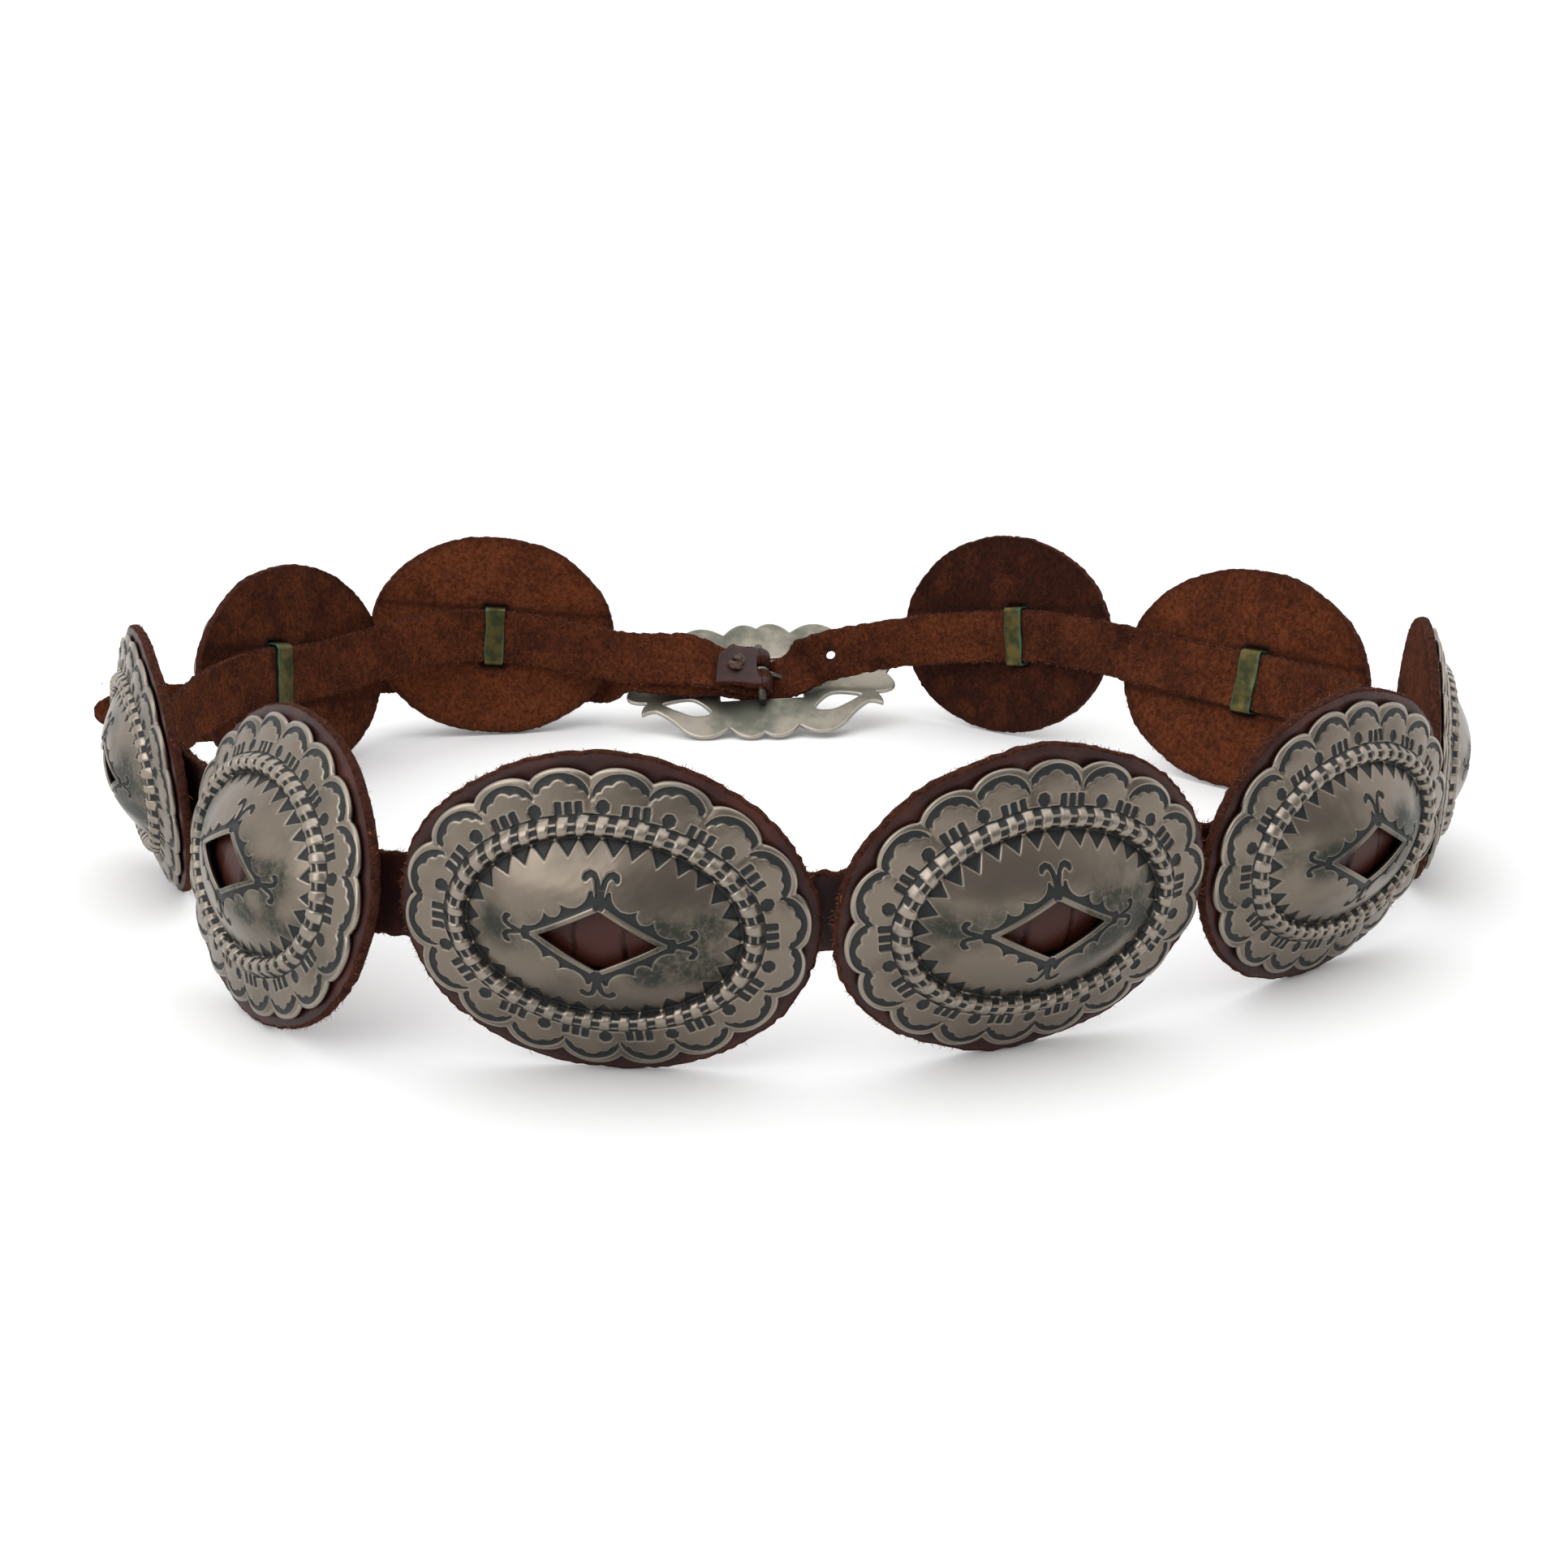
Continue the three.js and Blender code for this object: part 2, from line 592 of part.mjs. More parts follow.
function strap() {
  let solid = toSolid(strapBody(sections));
  const slot = new THREE.CylinderGeometry(foldRadius + strapThick / 2 + clearance / 2,
    foldRadius + strapThick / 2 + clearance / 2, slotWidth, 16);
  slot.translate(0, 0, -barDrop);
  solid = solid.subtract(inBuckle(slot));
  const way = prongKnee.clone().sub(prongStart).normalize();
  const from = prongStart.clone().addScaledVector(way, foldRadius + strapThick / 2 - eyeRadius);
  solid = solid.subtract(inBuckle(rodBetween(from, prongKnee, tongueRadius + clearance, 8)));
  const spare = sectionAt(-openingLength * 0.28 - holeSpacing);
  solid = solid.subtract(toSolid(rodBetween(
    spare.p.clone().addScaledVector(spare.n, -strapThick), spare.p.clone().addScaledVector(spare.n, strapThick),
    holeDiameter / 2, 12)));
  const { p, n } = laceSection;
  solid = solid.subtract(toSolid(rodBetween(
    p.clone().addScaledVector(n, -laceFlap - strapThick), p.clone().addScaledVector(n, strapThick * 0.8),
    laceRadius + clearance, 8)));
  return toGeometry(solid);
}

// Section of the strap that crosses a given distance along the buckle, on the right of the bar
function sectionAt(x) {
  const inverse = buckleFrame.clone().invert();
  const run = sections.slice(-60);
  let best = run[0];
  for (const section of run) {
    const here = Math.abs(section.p.clone().applyMatrix4(inverse).x - x);
    if (here < Math.abs(best.p.clone().applyMatrix4(inverse).x - x)) best = section;
  }
  return best;
}

// Lace: a short thong through the flap and the strap, knotted on the inner side
function lace() {
  const { p, n, t } = laceSection;
  const inner = p.clone().addScaledVector(n, -laceFlap - strapThick / 2 - clearance - knotThick / 2);
  const outer = p.clone().addScaledVector(n, strapThick / 2);
  const knot = new THREE.SphereGeometry(knotRadius, 10, 6);
  knot.scale(1, 1, knotThick / 2 / knotRadius);
  knot.applyMatrix4(new THREE.Matrix4().makeBasis(t, new THREE.Vector3().crossVectors(n, t), n));
  knot.translate(inner.x, inner.y, inner.z);
  return toGeometry(toSolid(knot).add(toSolid(rodBetween(inner, outer, laceRadius, 8))));
}

const silver = new THREE.MeshStandardMaterial({ color: 0xa39b92, roughness: 0.32, metalness: 1 });
const plateSilver = new THREE.MeshStandardMaterial({ color: 0x9a968c, roughness: 0.35, metalness: 1 });
const steel = new THREE.MeshStandardMaterial({ color: 0x6e7072, roughness: 0.5, metalness: 1 });
const burgundy = new THREE.MeshStandardMaterial({ color: 0x4a221c, roughness: 0.7, metalness: 0 });
const suede = new THREE.MeshStandardMaterial({ color: 0x6b3720, roughness: 0.9, metalness: 0 });
const thong = new THREE.MeshStandardMaterial({ color: 0x3a2a24, roughness: 0.8, metalness: 0 });

const belt = new THREE.Group();
function piece(name, geometry, material, frame) {
  const mesh = new THREE.Mesh(geometry, material);
  mesh.name = name;
  if (frame) frame.decompose(mesh.position, mesh.quaternion, mesh.scale);
  belt.add(mesh);
}

frames.forEach((frame, i) => {
  const slip = stations[i].slip * discLength;
  piece(`concho_${i + 1}`, concho(slip), silver, frame);
  piece(`backing_${i + 1}`, backing(slip), burgundy, frame);
});
piece('belt_strap', strap(), suede);
piece('buckle', buckle(), plateSilver, buckleFrame);
piece('tongue', tongue(), steel, buckleFrame);
piece('strap_lace', lace(), thong);

// The origin goes to the middle of the belt's base
belt.updateMatrixWorld(true);
const box = new THREE.Box3().setFromObject(belt, true);
belt.position.set(-(box.min.x + box.max.x) / 2, -(box.min.y + box.max.y) / 2, -box.min.z);

export default belt;
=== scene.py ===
# A concho belt, fastened and standing on its edge in a ring: ten domed silver ovals stamped by hand, each
# over a leather oval, threaded by brass loops on one strap that closes with a pierced silver buckle.
import math
import bpy
import numpy as np
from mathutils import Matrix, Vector


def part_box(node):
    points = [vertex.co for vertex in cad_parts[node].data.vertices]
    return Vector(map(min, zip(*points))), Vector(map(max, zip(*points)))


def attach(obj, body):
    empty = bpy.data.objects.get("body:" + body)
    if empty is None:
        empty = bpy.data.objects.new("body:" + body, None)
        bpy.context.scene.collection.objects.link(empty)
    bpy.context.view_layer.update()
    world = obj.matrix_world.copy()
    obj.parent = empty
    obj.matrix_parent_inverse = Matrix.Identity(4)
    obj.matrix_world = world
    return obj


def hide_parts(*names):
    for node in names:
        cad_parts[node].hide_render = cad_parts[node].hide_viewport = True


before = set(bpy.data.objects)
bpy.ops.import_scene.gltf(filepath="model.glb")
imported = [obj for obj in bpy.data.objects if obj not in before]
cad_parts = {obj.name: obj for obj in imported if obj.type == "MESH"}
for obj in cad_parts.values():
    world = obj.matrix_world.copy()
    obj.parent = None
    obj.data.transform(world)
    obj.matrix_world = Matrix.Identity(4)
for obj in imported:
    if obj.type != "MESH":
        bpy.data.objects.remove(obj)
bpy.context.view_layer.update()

# The ring. Each oval stands on its lower edge with its back to the middle of the ring, where the belt was set
# down: across and along in steps of one oval and its gap, then the way it faces, its lean and its own turn in
# degrees, and how far its brass loop has slipped along it in millimetres.
disc_length, disc_height, disc_thick = 91.5, 74.4, 3.0
pitch = disc_length + 4.0
stations = np.array([
    (-1.160, 1.488, 101.0, -9.0, 6.0, 0.0),
    (-1.776, 0.812, 155.6, -2.7, 9.9, 0.12 * disc_length),
    (-1.886, -0.260, 208.0, -1.5, -4.0, 0.0),
    (-1.263, -1.150, 221.2, 15.8, -4.2, 0.0),
    (-0.398, -1.521, 265.3, -2.9, -4.4, 0.0),
    (0.564, -1.432, 290.5, -6.7, -0.4, 0.0),
    (1.412, -0.966, 305.8, -3.7, -0.2, 0.0),
    (1.945, -0.143, 345.5, 1.5, 0.6, 0.0),
    (1.646, 0.775, 46.1, -12.2, 0.4, -0.05 * disc_length),
    (0.889, 1.479, 49.3, -4.0, -8.0, -0.08 * disc_length),
])


def standing_axes(turn, lean, roll):
    """Columns: along the belt, up the piece, out of the ring. turn is about the upright, lean tips the top
    inwards and roll turns the piece in its own plane."""
    yaw, tip, own = np.radians([turn, lean, roll])
    out = np.array([math.cos(yaw) * math.cos(tip), math.sin(yaw) * math.cos(tip), math.sin(tip)])
    level = np.array([-math.sin(yaw), math.cos(yaw), 0.0])
    upright = np.stack([level, np.cross(out, level), out], axis=1)
    c, s = math.cos(own), math.sin(own)
    return upright @ np.array([[c, -s, 0.0], [s, c, 0.0], [0.0, 0.0, 1.0]])


def standing_place(row):
    """Axes and centre of an oval whose lowest point touches the ground."""
    axes = standing_axes(*row[2:5])
    reach = math.hypot(axes[2, 0] * disc_length / 2, axes[2, 1] * disc_height / 2)
    return axes, np.array([row[0] * pitch, row[1] * pitch, reach + max(0.0, axes[2, 2]) * disc_thick])


places = [standing_place(row) for row in stations]
low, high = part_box("backing_7")
axes_7, centre_7 = places[6]
shift = (np.array(low) + np.array(high)) * 500 - (centre_7 - axes_7[:, 2] * disc_thick / 2)
places = [(axes, centre + shift) for axes, centre in places]


def put(place, points):
    """Points of a piece's own frame, carried to where the piece stands."""
    axes, centre = place
    return points @ axes.T + centre


def unit(ways):
    """The ways divided by their own lengths."""
    return ways / np.linalg.norm(ways, axis=-1, keepdims=True)


def add_object(name, data):
    """A new object in the scene that shows the data."""
    piece = bpy.data.objects.new(name, data)
    bpy.context.scene.collection.objects.link(piece)
    return piece


def lay_faces(name, points, rows, columns, capped=True, marks=None):
    """A closed surface in metres from rows of points in millimetres, each row a ring. Either a fan closes the
    first and the last row, its middle points last of all, or the last row joins the first. The faces are
    turned outwards by the sign of the volume they hold. marks are numbers kept at every point, by name."""
    r = np.arange(rows - 1 if capped else rows)[:, None]
    c, d = np.arange(columns)[None, :], (np.arange(columns)[None, :] + 1) % columns
    near, far = r * columns, ((r + 1) % rows) * columns
    quads = np.stack([near + c, near + d, far + d, far + c], axis=-1).reshape(-1, 4)
    fans = np.zeros((0, 3), int)
    if capped:
        c, d, last = c[0], d[0], (rows - 1) * columns
        fans = np.concatenate([np.stack([c * 0 + rows * columns, d, c], 1),
                               np.stack([c * 0 + rows * columns + 1, last + c, last + d], 1)])
    split = np.concatenate([quads[:, [0, 1, 2]], quads[:, [0, 2, 3]], fans])
    seen = points - points.mean(0)
    if np.sum(seen[split[:, 0]] * np.cross(seen[split[:, 1]], seen[split[:, 2]])) < 0:
        quads, fans = quads[:, ::-1], fans[:, ::-1]
    corners = np.concatenate([quads.ravel(), fans.ravel()])
    starts = np.concatenate([np.arange(len(quads)) * 4, quads.size + np.arange(len(fans)) * 3])
    mesh = bpy.data.meshes.new(name)
    mesh.vertices.add(len(points))
    mesh.vertices.foreach_set("co", (points * 0.001).astype(np.float32).ravel())
    mesh.loops.add(len(corners))
    mesh.loops.foreach_set("vertex_index", corners.astype(np.int32))
    mesh.polygons.add(len(starts))
    mesh.polygons.foreach_set("loop_start", starts.astype(np.int32))
    mesh.polygons.foreach_set("use_smooth", np.ones(len(starts), bool))
    mesh.update(calc_edges=True)
    for mark, values in (marks or {}).items():
        numbers = mesh.attributes.new(mark, "FLOAT", "POINT").data
        numbers.foreach_set("value", np.asarray(values, np.float32).ravel())
    return add_object(name, mesh)


def wander(x, y, seed, reach, waves=9):
    """A smooth uneven field between about -1 and 1: a sum of waves of about one length and random ways."""
    rng = np.random.default_rng(seed)
    total = np.zeros(np.broadcast(x, y).shape)
    for way, stretch, phase in zip(rng.uniform(0, math.tau, waves), rng.uniform(0.6, 1.6, waves),
                                   rng.uniform(0, math.tau, waves)):
        total += np.sin((x * math.cos(way) + y * math.sin(way)) * math.tau * stretch / reach + phase)
    return total / math.sqrt(waves)


def ease(value, start, end):
    """0 before start, 1 after end, and a smooth rise between."""
    t = np.clip((value - start) / (end - start), 0, 1)
    return t * t * (3 - 2 * t)


# The silver ovals. Each is one sheet cut to eighteen scallops, domed over a die, with a raised ring chased
# like a woven cord. Hand-struck punches give the rest, and their blackened floors make the pattern.
concho_length, concho_height, silver_thick = 89.0, 70.0, 1.2
foot_length, foot_height, ring_width = 29.8, 20.45, 4.6
diamond_length, diamond_height = 12.9, 7.05
flange_top, outer_level, foot_level, dome_rise = 1.55, 4.35, 4.75, 8.6
scallops, scallop_depth, first_scallop = 18, 2.2, 0.019
weave_marks, ring_teeth, flange_marks = 42, 31, 28
flange_marks_oval = 36.35, 27.0
punch_depth, punch_lip, ring_rise = 0.48, 0.06, 1.8
dome_rows, ring_rows, flange_rows, columns = 52, 20, 31, 540


def oval_shares(half_length, half_height):
    """Angles of an oval's table of points, and the share of the way round at each."""
    angle = np.linspace(0, math.tau, 2881)
    step = np.hypot(np.diff(half_length * np.cos(angle)), np.diff(half_height * np.sin(angle)))
    return angle, np.concatenate([[0], np.cumsum(step)]) / step.sum()


def box_edge(x, y, half_x, half_y):
    """Distance from a rectangle's edge, less than 0 inside it."""
    ox, oy = np.abs(x) - half_x, np.abs(y) - half_y
    return np.hypot(np.maximum(ox, 0), np.maximum(oy, 0)) + np.minimum(np.maximum(ox, oy), 0)


def stroke_edge(x, y, path, widths):
    """Distance from the edge of a stroke drawn through the points of path, its half widths given at each."""
    best = np.full(x.shape, 99.0)
    for (ax, ay), (bx, by), wa, wb in zip(path[:-1], path[1:], widths[:-1], widths[1:]):
        dx, dy = bx - ax, by - ay
        t = np.clip(((x - ax) * dx + (y - ay) * dy) / (dx * dx + dy * dy), 0, 1)
        best = np.minimum(best, np.hypot(x - ax - t * dx, y - ay - t * dy) - (wa + (wb - wa) * t))
    return best


def by_mark(xy, oval, count, first, rng, slack=0.16):
    """Every point in the frame of its nearest punch mark. Marks follow an oval at equal steps of its length,
    and each is a little off its place and turn, as the hand set it. Gives x along the oval, y outwards."""
    half_length, half_height = oval
    angle, share = oval_shares(half_length, half_height)
    own = np.interp(np.arctan2(xy[..., 1] / half_height, xy[..., 0] / half_length) % math.tau, angle, share)
    nearest = np.rint((own - first) * count).astype(int) % count
    at = np.interp((first + np.arange(count) / count) % 1, share, angle)
    way = np.arctan2(half_height * np.cos(at), -half_length * np.sin(at)) + rng.normal(0, slack * 0.3, count)
    middle = np.stack([half_length * np.cos(at), half_height * np.sin(at)], -1)
    middle += rng.normal(0, slack, (count, 2))
    off = xy - middle[nearest]
    c, s = np.cos(way)[nearest], np.sin(way)[nearest]
    return off[..., 0] * c + off[..., 1] * s, off[..., 0] * s - off[..., 1] * c, nearest


def rim_crescent(x, y):
    """A crescent along a scallop: inside an arch 12.6 wide and 5.2 high, outside five rounded lobes."""
    arch = np.maximum((np.hypot(x / 6.3, y / 5.15) - 1) * 5.6, -0.5 - y)
    arch = np.maximum(arch, (np.abs(x) - 6.2) * 0.8 - y * 0.6)
    lobes = [np.hypot(x, y - 1.75) - 2.15, np.hypot(np.abs(x) - 2.75, y - 1.25) - 1.5,
             np.hypot(np.abs(x) - 4.6, y + 0.2) - 1.15, box_edge(x, y + 2.0, 5.2, 3.1)]
    joined = -np.log(sum(np.exp(np.clip(-6 * lobe, -30, 30)) for lobe in lobes)) / 6
    return np.maximum(arch, -joined)


def three_bars(x, y):
    """Three upright bars side by side, each 1.6 wide and 2.76 high, their middles 2.2 apart."""
    return np.minimum.reduce([box_edge(x - step, y + 0.3, 0.8, 1.38) for step in (-2.2, 0.0, 2.2)])


def round_dot(x, y, sides=7):
    """A dot struck with a filed punch: a circle of 1.6 radius with seven flats."""
    angle = np.arctan2(y, x) % (math.tau / sides) - math.pi / sides
    return np.hypot(x, y) * np.cos(angle) / math.cos(math.pi / sides) - 1.58


def comb(x, y):
    """Three dark steps across the ring with two bright prongs between them, shut at one side."""
    steps = np.minimum.reduce([box_edge(x, y - mid, 0.88, half) for mid, half in
                               ((1.95, 0.64), (0.22, 0.60), (-1.66, 0.56))])
    return np.minimum(steps, box_edge(x + 0.92, y - 0.1, 0.12, 2.2))


def tooth(x, y):
    """A triangle struck inwards from the ring: base 5 along it, point 3.4 inside it."""
    side = (np.abs(x) * 3.5 - (y + 3.4) * 2.55) / math.hypot(3.5, 2.55)
    return np.maximum(side, y - 0.1)


def diamond_band(x, y):
    """The dark band outside the diamond's polished border: three lobes of bright metal press into each side
    of it, and at each corner it ends in a forked stem with curled tips."""
    border_length, border_height = 15.4, 8.35
    side = math.hypot(border_length, border_height)
    ax, ay = np.abs(x), np.abs(y)
    t = (ax * border_length + (border_height - ay) * border_height) / side
    out = (ax * border_height + ay * border_length - border_length * border_height) / side
    lobes = np.minimum.reduce([np.hypot(t - mid, out - rise) - radius for mid, rise, radius in
                               ((4.3, 5.3, 4.0), (9.6, 3.1, 2.0), (14.9, 4.75, 3.8))])
    band = np.maximum.reduce([-out, out - 2.7 * ease(t, 19.5, 15.0) - 0.5, -lobes])
    stem = [(0.0, -0.3), (0.0, 2.0), (0.55, 3.3), (0.85, 4.5), (1.5, 5.5), (2.4, 5.75), (3.15, 5.3),
            (3.35, 4.8)]
    widths = [1.25, 0.95, 0.62, 0.55, 0.6, 0.68, 0.72, 0.6]
    upright = stroke_edge(ax, ay - border_height, stem, widths)
    level = stroke_edge(ay, ax - border_length, [(u * 0.86, v * 0.86) for u, v in stem],
                        [0.55, 0.55, 0.5, 0.46, 0.5, 0.56, 0.6, 0.5])
    return np.minimum(np.where(t < 0.3, 9.0, band), np.minimum(upright, level))


def scallop_inset(share):
    """How far the outline lies inside its oval: round lobes that meet in sharp cusps."""
    u = ((share - first_scallop) * scallops + 0.5) % 1 * 2 - 1
    return scallop_depth * (1 - np.sqrt(1 - 0.8 * u * u)) / (1 - math.sqrt(0.2))


def punch_marks(front, near, rng):
    """Distance from the edge of the nearest punch mark, less than 0 inside it, and where each point lies in
    the woven ring: x along its nearest strand and y across the ring."""
    x, y = front[..., 0], front[..., 1]
    crest = foot_length + ring_width / 2, foot_height + ring_width / 2
    weave_x, weave_y, _ = by_mark(front, crest, weave_marks, 0.3 / weave_marks, rng, 0.10)
    weave_x = weave_x + 0.16 * weave_y
    ring_inside = foot_length + 0.1, foot_height + 0.1
    teeth_x, teeth_y, _ = by_mark(front, ring_inside, ring_teeth, 0.4 / ring_teeth, rng)
    mark_x, mark_y, which = by_mark(front, flange_marks_oval, flange_marks, 1.2 / flange_marks, rng)
    whole = concho_length / 2, concho_height / 2
    scallop_x, scallop_y, _ = by_mark(front, whole, scallops, first_scallop, rng, 0.12)
    turn = rng.normal(0, 0.012)
    c, s = math.cos(turn), math.sin(turn)
    ring_foot = np.abs(np.abs(weave_y) - 2.45) - 0.22
    punched = np.minimum.reduce([
        rim_crescent(scallop_x, scallop_y + 6.2),
        np.where(which % 2 == 0, round_dot(mark_x, mark_y), three_bars(mark_x, mark_y)),
        np.where(near < 1.1, tooth(teeth_x, teeth_y), 9.0),
        np.where(np.abs(weave_y) < 2.9, comb(weave_x, weave_y), 9.0),
        np.where(near < 0.86, diamond_band(x * c + y * s, y * c - x * s), 9.0),
        np.where(weave_y > 0, ring_foot, 9.0)])
    return punched, weave_x, weave_y


def underside(rim, outer, foot, hole, edge_top):
    """Rings of points round the rim's edge and back under the sheet to the diamond."""
    def level_ring(ring, height):
        """The ring's points at one height, or at a height for each."""
        return np.dstack([ring[None, :, 0], ring[None, :, 1], np.broadcast_to(height, ring.shape[:1])[None]])

    def dome_under(ring):
        """The dome's height under its sheet: highest in the middle, falling with the square outwards."""
        share = (ring[:, 0] / foot_length) ** 2 + (ring[:, 1] / foot_height) ** 2
        return foot_level + dome_rise * (1 - share) - silver_thick

    rings = [level_ring(rim, edge_top - 0.22), level_ring(rim, edge_top - 0.9),
             level_ring(rim * 0.992, flange_top - silver_thick),
             level_ring(outer, outer_level - silver_thick)]
    for share in (0.0, 0.2, 0.45, 0.7, 0.96):
        ring = foot + (hole - foot) * share
        rings.append(level_ring(ring, dome_under(ring)))
    rings.append(level_ring(hole * 0.985, dome_under(hole) + 0.25))
    rings.append(level_ring(hole * 0.985, dome_under(hole) + silver_thick - 0.2))
    return rings


def painted_reflection_band(front, near, seed, rng):
    """Painted dark reflection: a dark band across the dome, wider to the right, and a second one below."""
    x, y = front[..., 0], front[..., 1]
    across = x + rng.normal(0, 2.0)
    above = y - rng.uniform(0.5, 3.0) - 0.06 * across
    right = across > 0
    band = np.exp(-((above + 1.5 * right) / np.where(right, 7.2, 5.0)) ** 2) * np.where(right, 1.5, 0.8)
    band *= ease(np.abs(across), 3.5, 11) * ease(np.abs(across), 31, 23)
    below = 0.9 * np.exp(-((above + 9) / 3.4) ** 2) * ease(across, 1, 12) * (near < 1)
    return np.clip((band + below) * (0.85 + 0.4 * wander(x, y, seed, 14)), 0, 1)


def silver_sheet(name, place, seed):
    """Rings of points from the diamond's edge over dome, ring and flange to the rim, round its edge and back
    underneath to the diamond. The height is the die's form less the depth of the punch marks."""
    rng = np.random.default_rng(seed)
    table, share_table = oval_shares(concho_length / 2, concho_height / 2)
    share = np.arange(columns) / columns
    angle = np.interp(share, share_table, table)
    c, s = np.cos(angle), np.sin(angle)
    hole = np.stack([diamond_length * c, diamond_height * s], -1) / (np.abs(c) + np.abs(s))[:, None]
    foot = np.stack([foot_length * c, foot_height * s], -1)
    outer = np.stack([(foot_length + ring_width) * c, (foot_height + ring_width) * s], -1)
    inset = scallop_inset(share) + 0.12 * wander(share * 200, share * 0, seed + 1, 11)
    rim = np.stack([(concho_length / 2 - inset) * c, (concho_height / 2 - inset) * s], -1)

    def between(a, b, count, start=0.0, end=1.0):
        """Rings at even shares of the way from ring a to ring b, the last share left out."""
        t = np.linspace(start, end, count, endpoint=False)[:, None, None]
        return a + (b - a) * t

    front = np.concatenate([between(hole, foot, dome_rows, 0.012), between(foot, outer, ring_rows),
                            between(outer, rim, flange_rows, 0.0, 0.985)])
    x, y = front[..., 0], front[..., 1]
    near = np.hypot(x / foot_length, y / foot_height)
    z = foot_level + dome_rise * (1 - near ** 2)
    w = np.linspace(0, 1, ring_rows, endpoint=False)[:, None]
    first_flange = dome_rows + ring_rows
    ring_form = ring_rise * (1 - (2 * w - 1) ** 2) ** 0.75
    z[dome_rows:first_flange] = foot_level + (outer_level - foot_level) * w + ring_form
    v = np.linspace(0, 1, flange_rows, endpoint=False)[:, None]
    lobe = ((share - first_scallop) * scallops + 0.5) % 1 * 2 - 1
    petal = 0.22 * (1 - lobe ** 2) * np.sin(math.pi * v ** 1.5)
    z[first_flange:] = outer_level + (flange_top - outer_level) * v + petal

    punched, weave_x, weave_y = punch_marks(front, near, rng)
    on_ring = ease(np.abs(weave_y), 2.5, 2.1)
    strand = 0.32 * ease(np.abs(weave_x), 0.75, 1.3) - 0.18 * ease(np.abs(weave_y), 1.2, 2.3) - 0.1
    lip = punch_lip * np.exp(-((punched - 0.2) / 0.16) ** 2)
    z += on_ring * strand - punch_depth * ease(0.16 - punched, 0.0, 0.42) + lip
    z += 0.04 * wander(x, y, seed + 2, 11.0) + 0.008 * wander(x, y, seed + 3, 3.2)

    under = underside(rim, outer, foot, hole, z[-1])
    points = np.concatenate([np.dstack([x, y, z])] + under).reshape(-1, 3)
    # A painted dark reflection, kept at each point and read by the silver's colour.
    reflection_band = painted_reflection_band(front, near, seed + 4, rng)
    rim_share = np.concatenate([np.zeros((first_flange, 1)), v])
    worn = (ease(0.3 - np.abs(punched - 0.15), 0, 0.3) * 0.4 + ease(rim_share, 0.92, 1.0)
            + on_ring * ease(np.abs(weave_x), 0.9, 1.5) * 0.45)
    beneath = np.ones(len(under) * columns)
    marks = {
        "punched": np.concatenate([np.clip(punched, -1.5, 1.5).ravel(), beneath * 1.5]),
        "reflection_band": np.concatenate([reflection_band.ravel(), beneath * 0.3]),
        "worn": np.concatenate([np.clip(worn, 0, 1).ravel(), beneath * 0.5]),
    }
    return lay_faces(name, put(place, points), len(front) + len(under), columns, False, marks)


class Look:
    """The nodes of one finish. What adds a node gives that node's output, for the next one to use."""

    def __init__(self, tree, last):
        self.nodes, self.links, self.last = tree.nodes, tree.links, tree.nodes[last]

    def feed(self, socket, value):
        """Sets a socket to a number or colour, or links another node's output to it."""
        if isinstance(value, (int, float, tuple)):
            socket.default_value = value
        else:
            self.links.new(value, socket)

    def give(self, socket, value):
        """Sets or links a socket of the finish itself, by its name."""
        self.feed(self.last.inputs[socket], value)

    def noise(self, scale, detail=3.0, roughness=0.5):
        """Noise over the object's own coordinates, its scale in waves to the metre."""
        node = self.nodes.new("ShaderNodeTexNoise")
        for socket, number in (("Scale", scale), ("Detail", detail), ("Roughness", roughness)):
            node.inputs[socket].default_value = number
        self.links.new(self.nodes.new("ShaderNodeTexCoord").outputs["Object"], node.inputs["Vector"])
        return node.outputs["Fac"]

    def ramp(self, value, low_in, high_in, low_out=0.0, high_out=1.0):
        """A smooth rise from low_out to high_out while the value goes from low_in to high_in."""
        node = self.nodes.new("ShaderNodeMapRange")
        node.interpolation_type = "SMOOTHSTEP"
        numbers = {"From Min": low_in, "From Max": high_in, "To Min": low_out, "To Max": high_out}
        for socket, number in numbers.items():
            node.inputs[socket].default_value = number
        self.links.new(value, node.inputs["Value"])
        return node.outputs["Result"]

    def blend(self, mask, a, b, kind="RGBA"):
        """a where the mask is 0 and b where it is 1: colours, or surface ways where the kind is VECTOR."""
        node = self.nodes.new("ShaderNodeMix")
        node.data_type = kind
        first, result = {"RGBA": (6, 2), "VECTOR": (4, 1)}[kind]
        self.feed(node.inputs["Factor"], mask)
        self.feed(node.inputs[first], a)
        self.feed(node.inputs[first + 1], b)
        return node.outputs[result]

    def combine(self, operation, a, b):
        """Two numbers multiplied, or added and held between 0 and 1."""
        node = self.nodes.new("ShaderNodeMath")
        node.operation, node.use_clamp = operation, operation == "ADD"
        self.feed(node.inputs[0], a)
        self.feed(node.inputs[1], b)
        return node.outputs[0]

    def times(self, a, b):
        return self.combine("MULTIPLY", a, b)

    def plus(self, a, b):
        return self.combine("ADD", a, b)

    def kept(self, mark):
        """The numbers that the mesh keeps at its points under this name."""
        node = self.nodes.new("ShaderNodeAttribute")
        node.attribute_name = mark
        return node.outputs["Fac"]

    def relief(self, height, distance, strength):
        """Fine relief on the surface, its distance in metres."""
        node = self.nodes.new("ShaderNodeBump")
        self.feed(node.inputs["Distance"], distance)
        self.feed(node.inputs["Strength"], strength)
        self.feed(node.inputs["Height"], height)
        return node.outputs["Normal"]


def new_finish(name):
    """A new material and the look of its surface."""
    material = bpy.data.materials.new(name)
    material.use_nodes = True
    return material, Look(material.node_tree, "Principled BSDF")


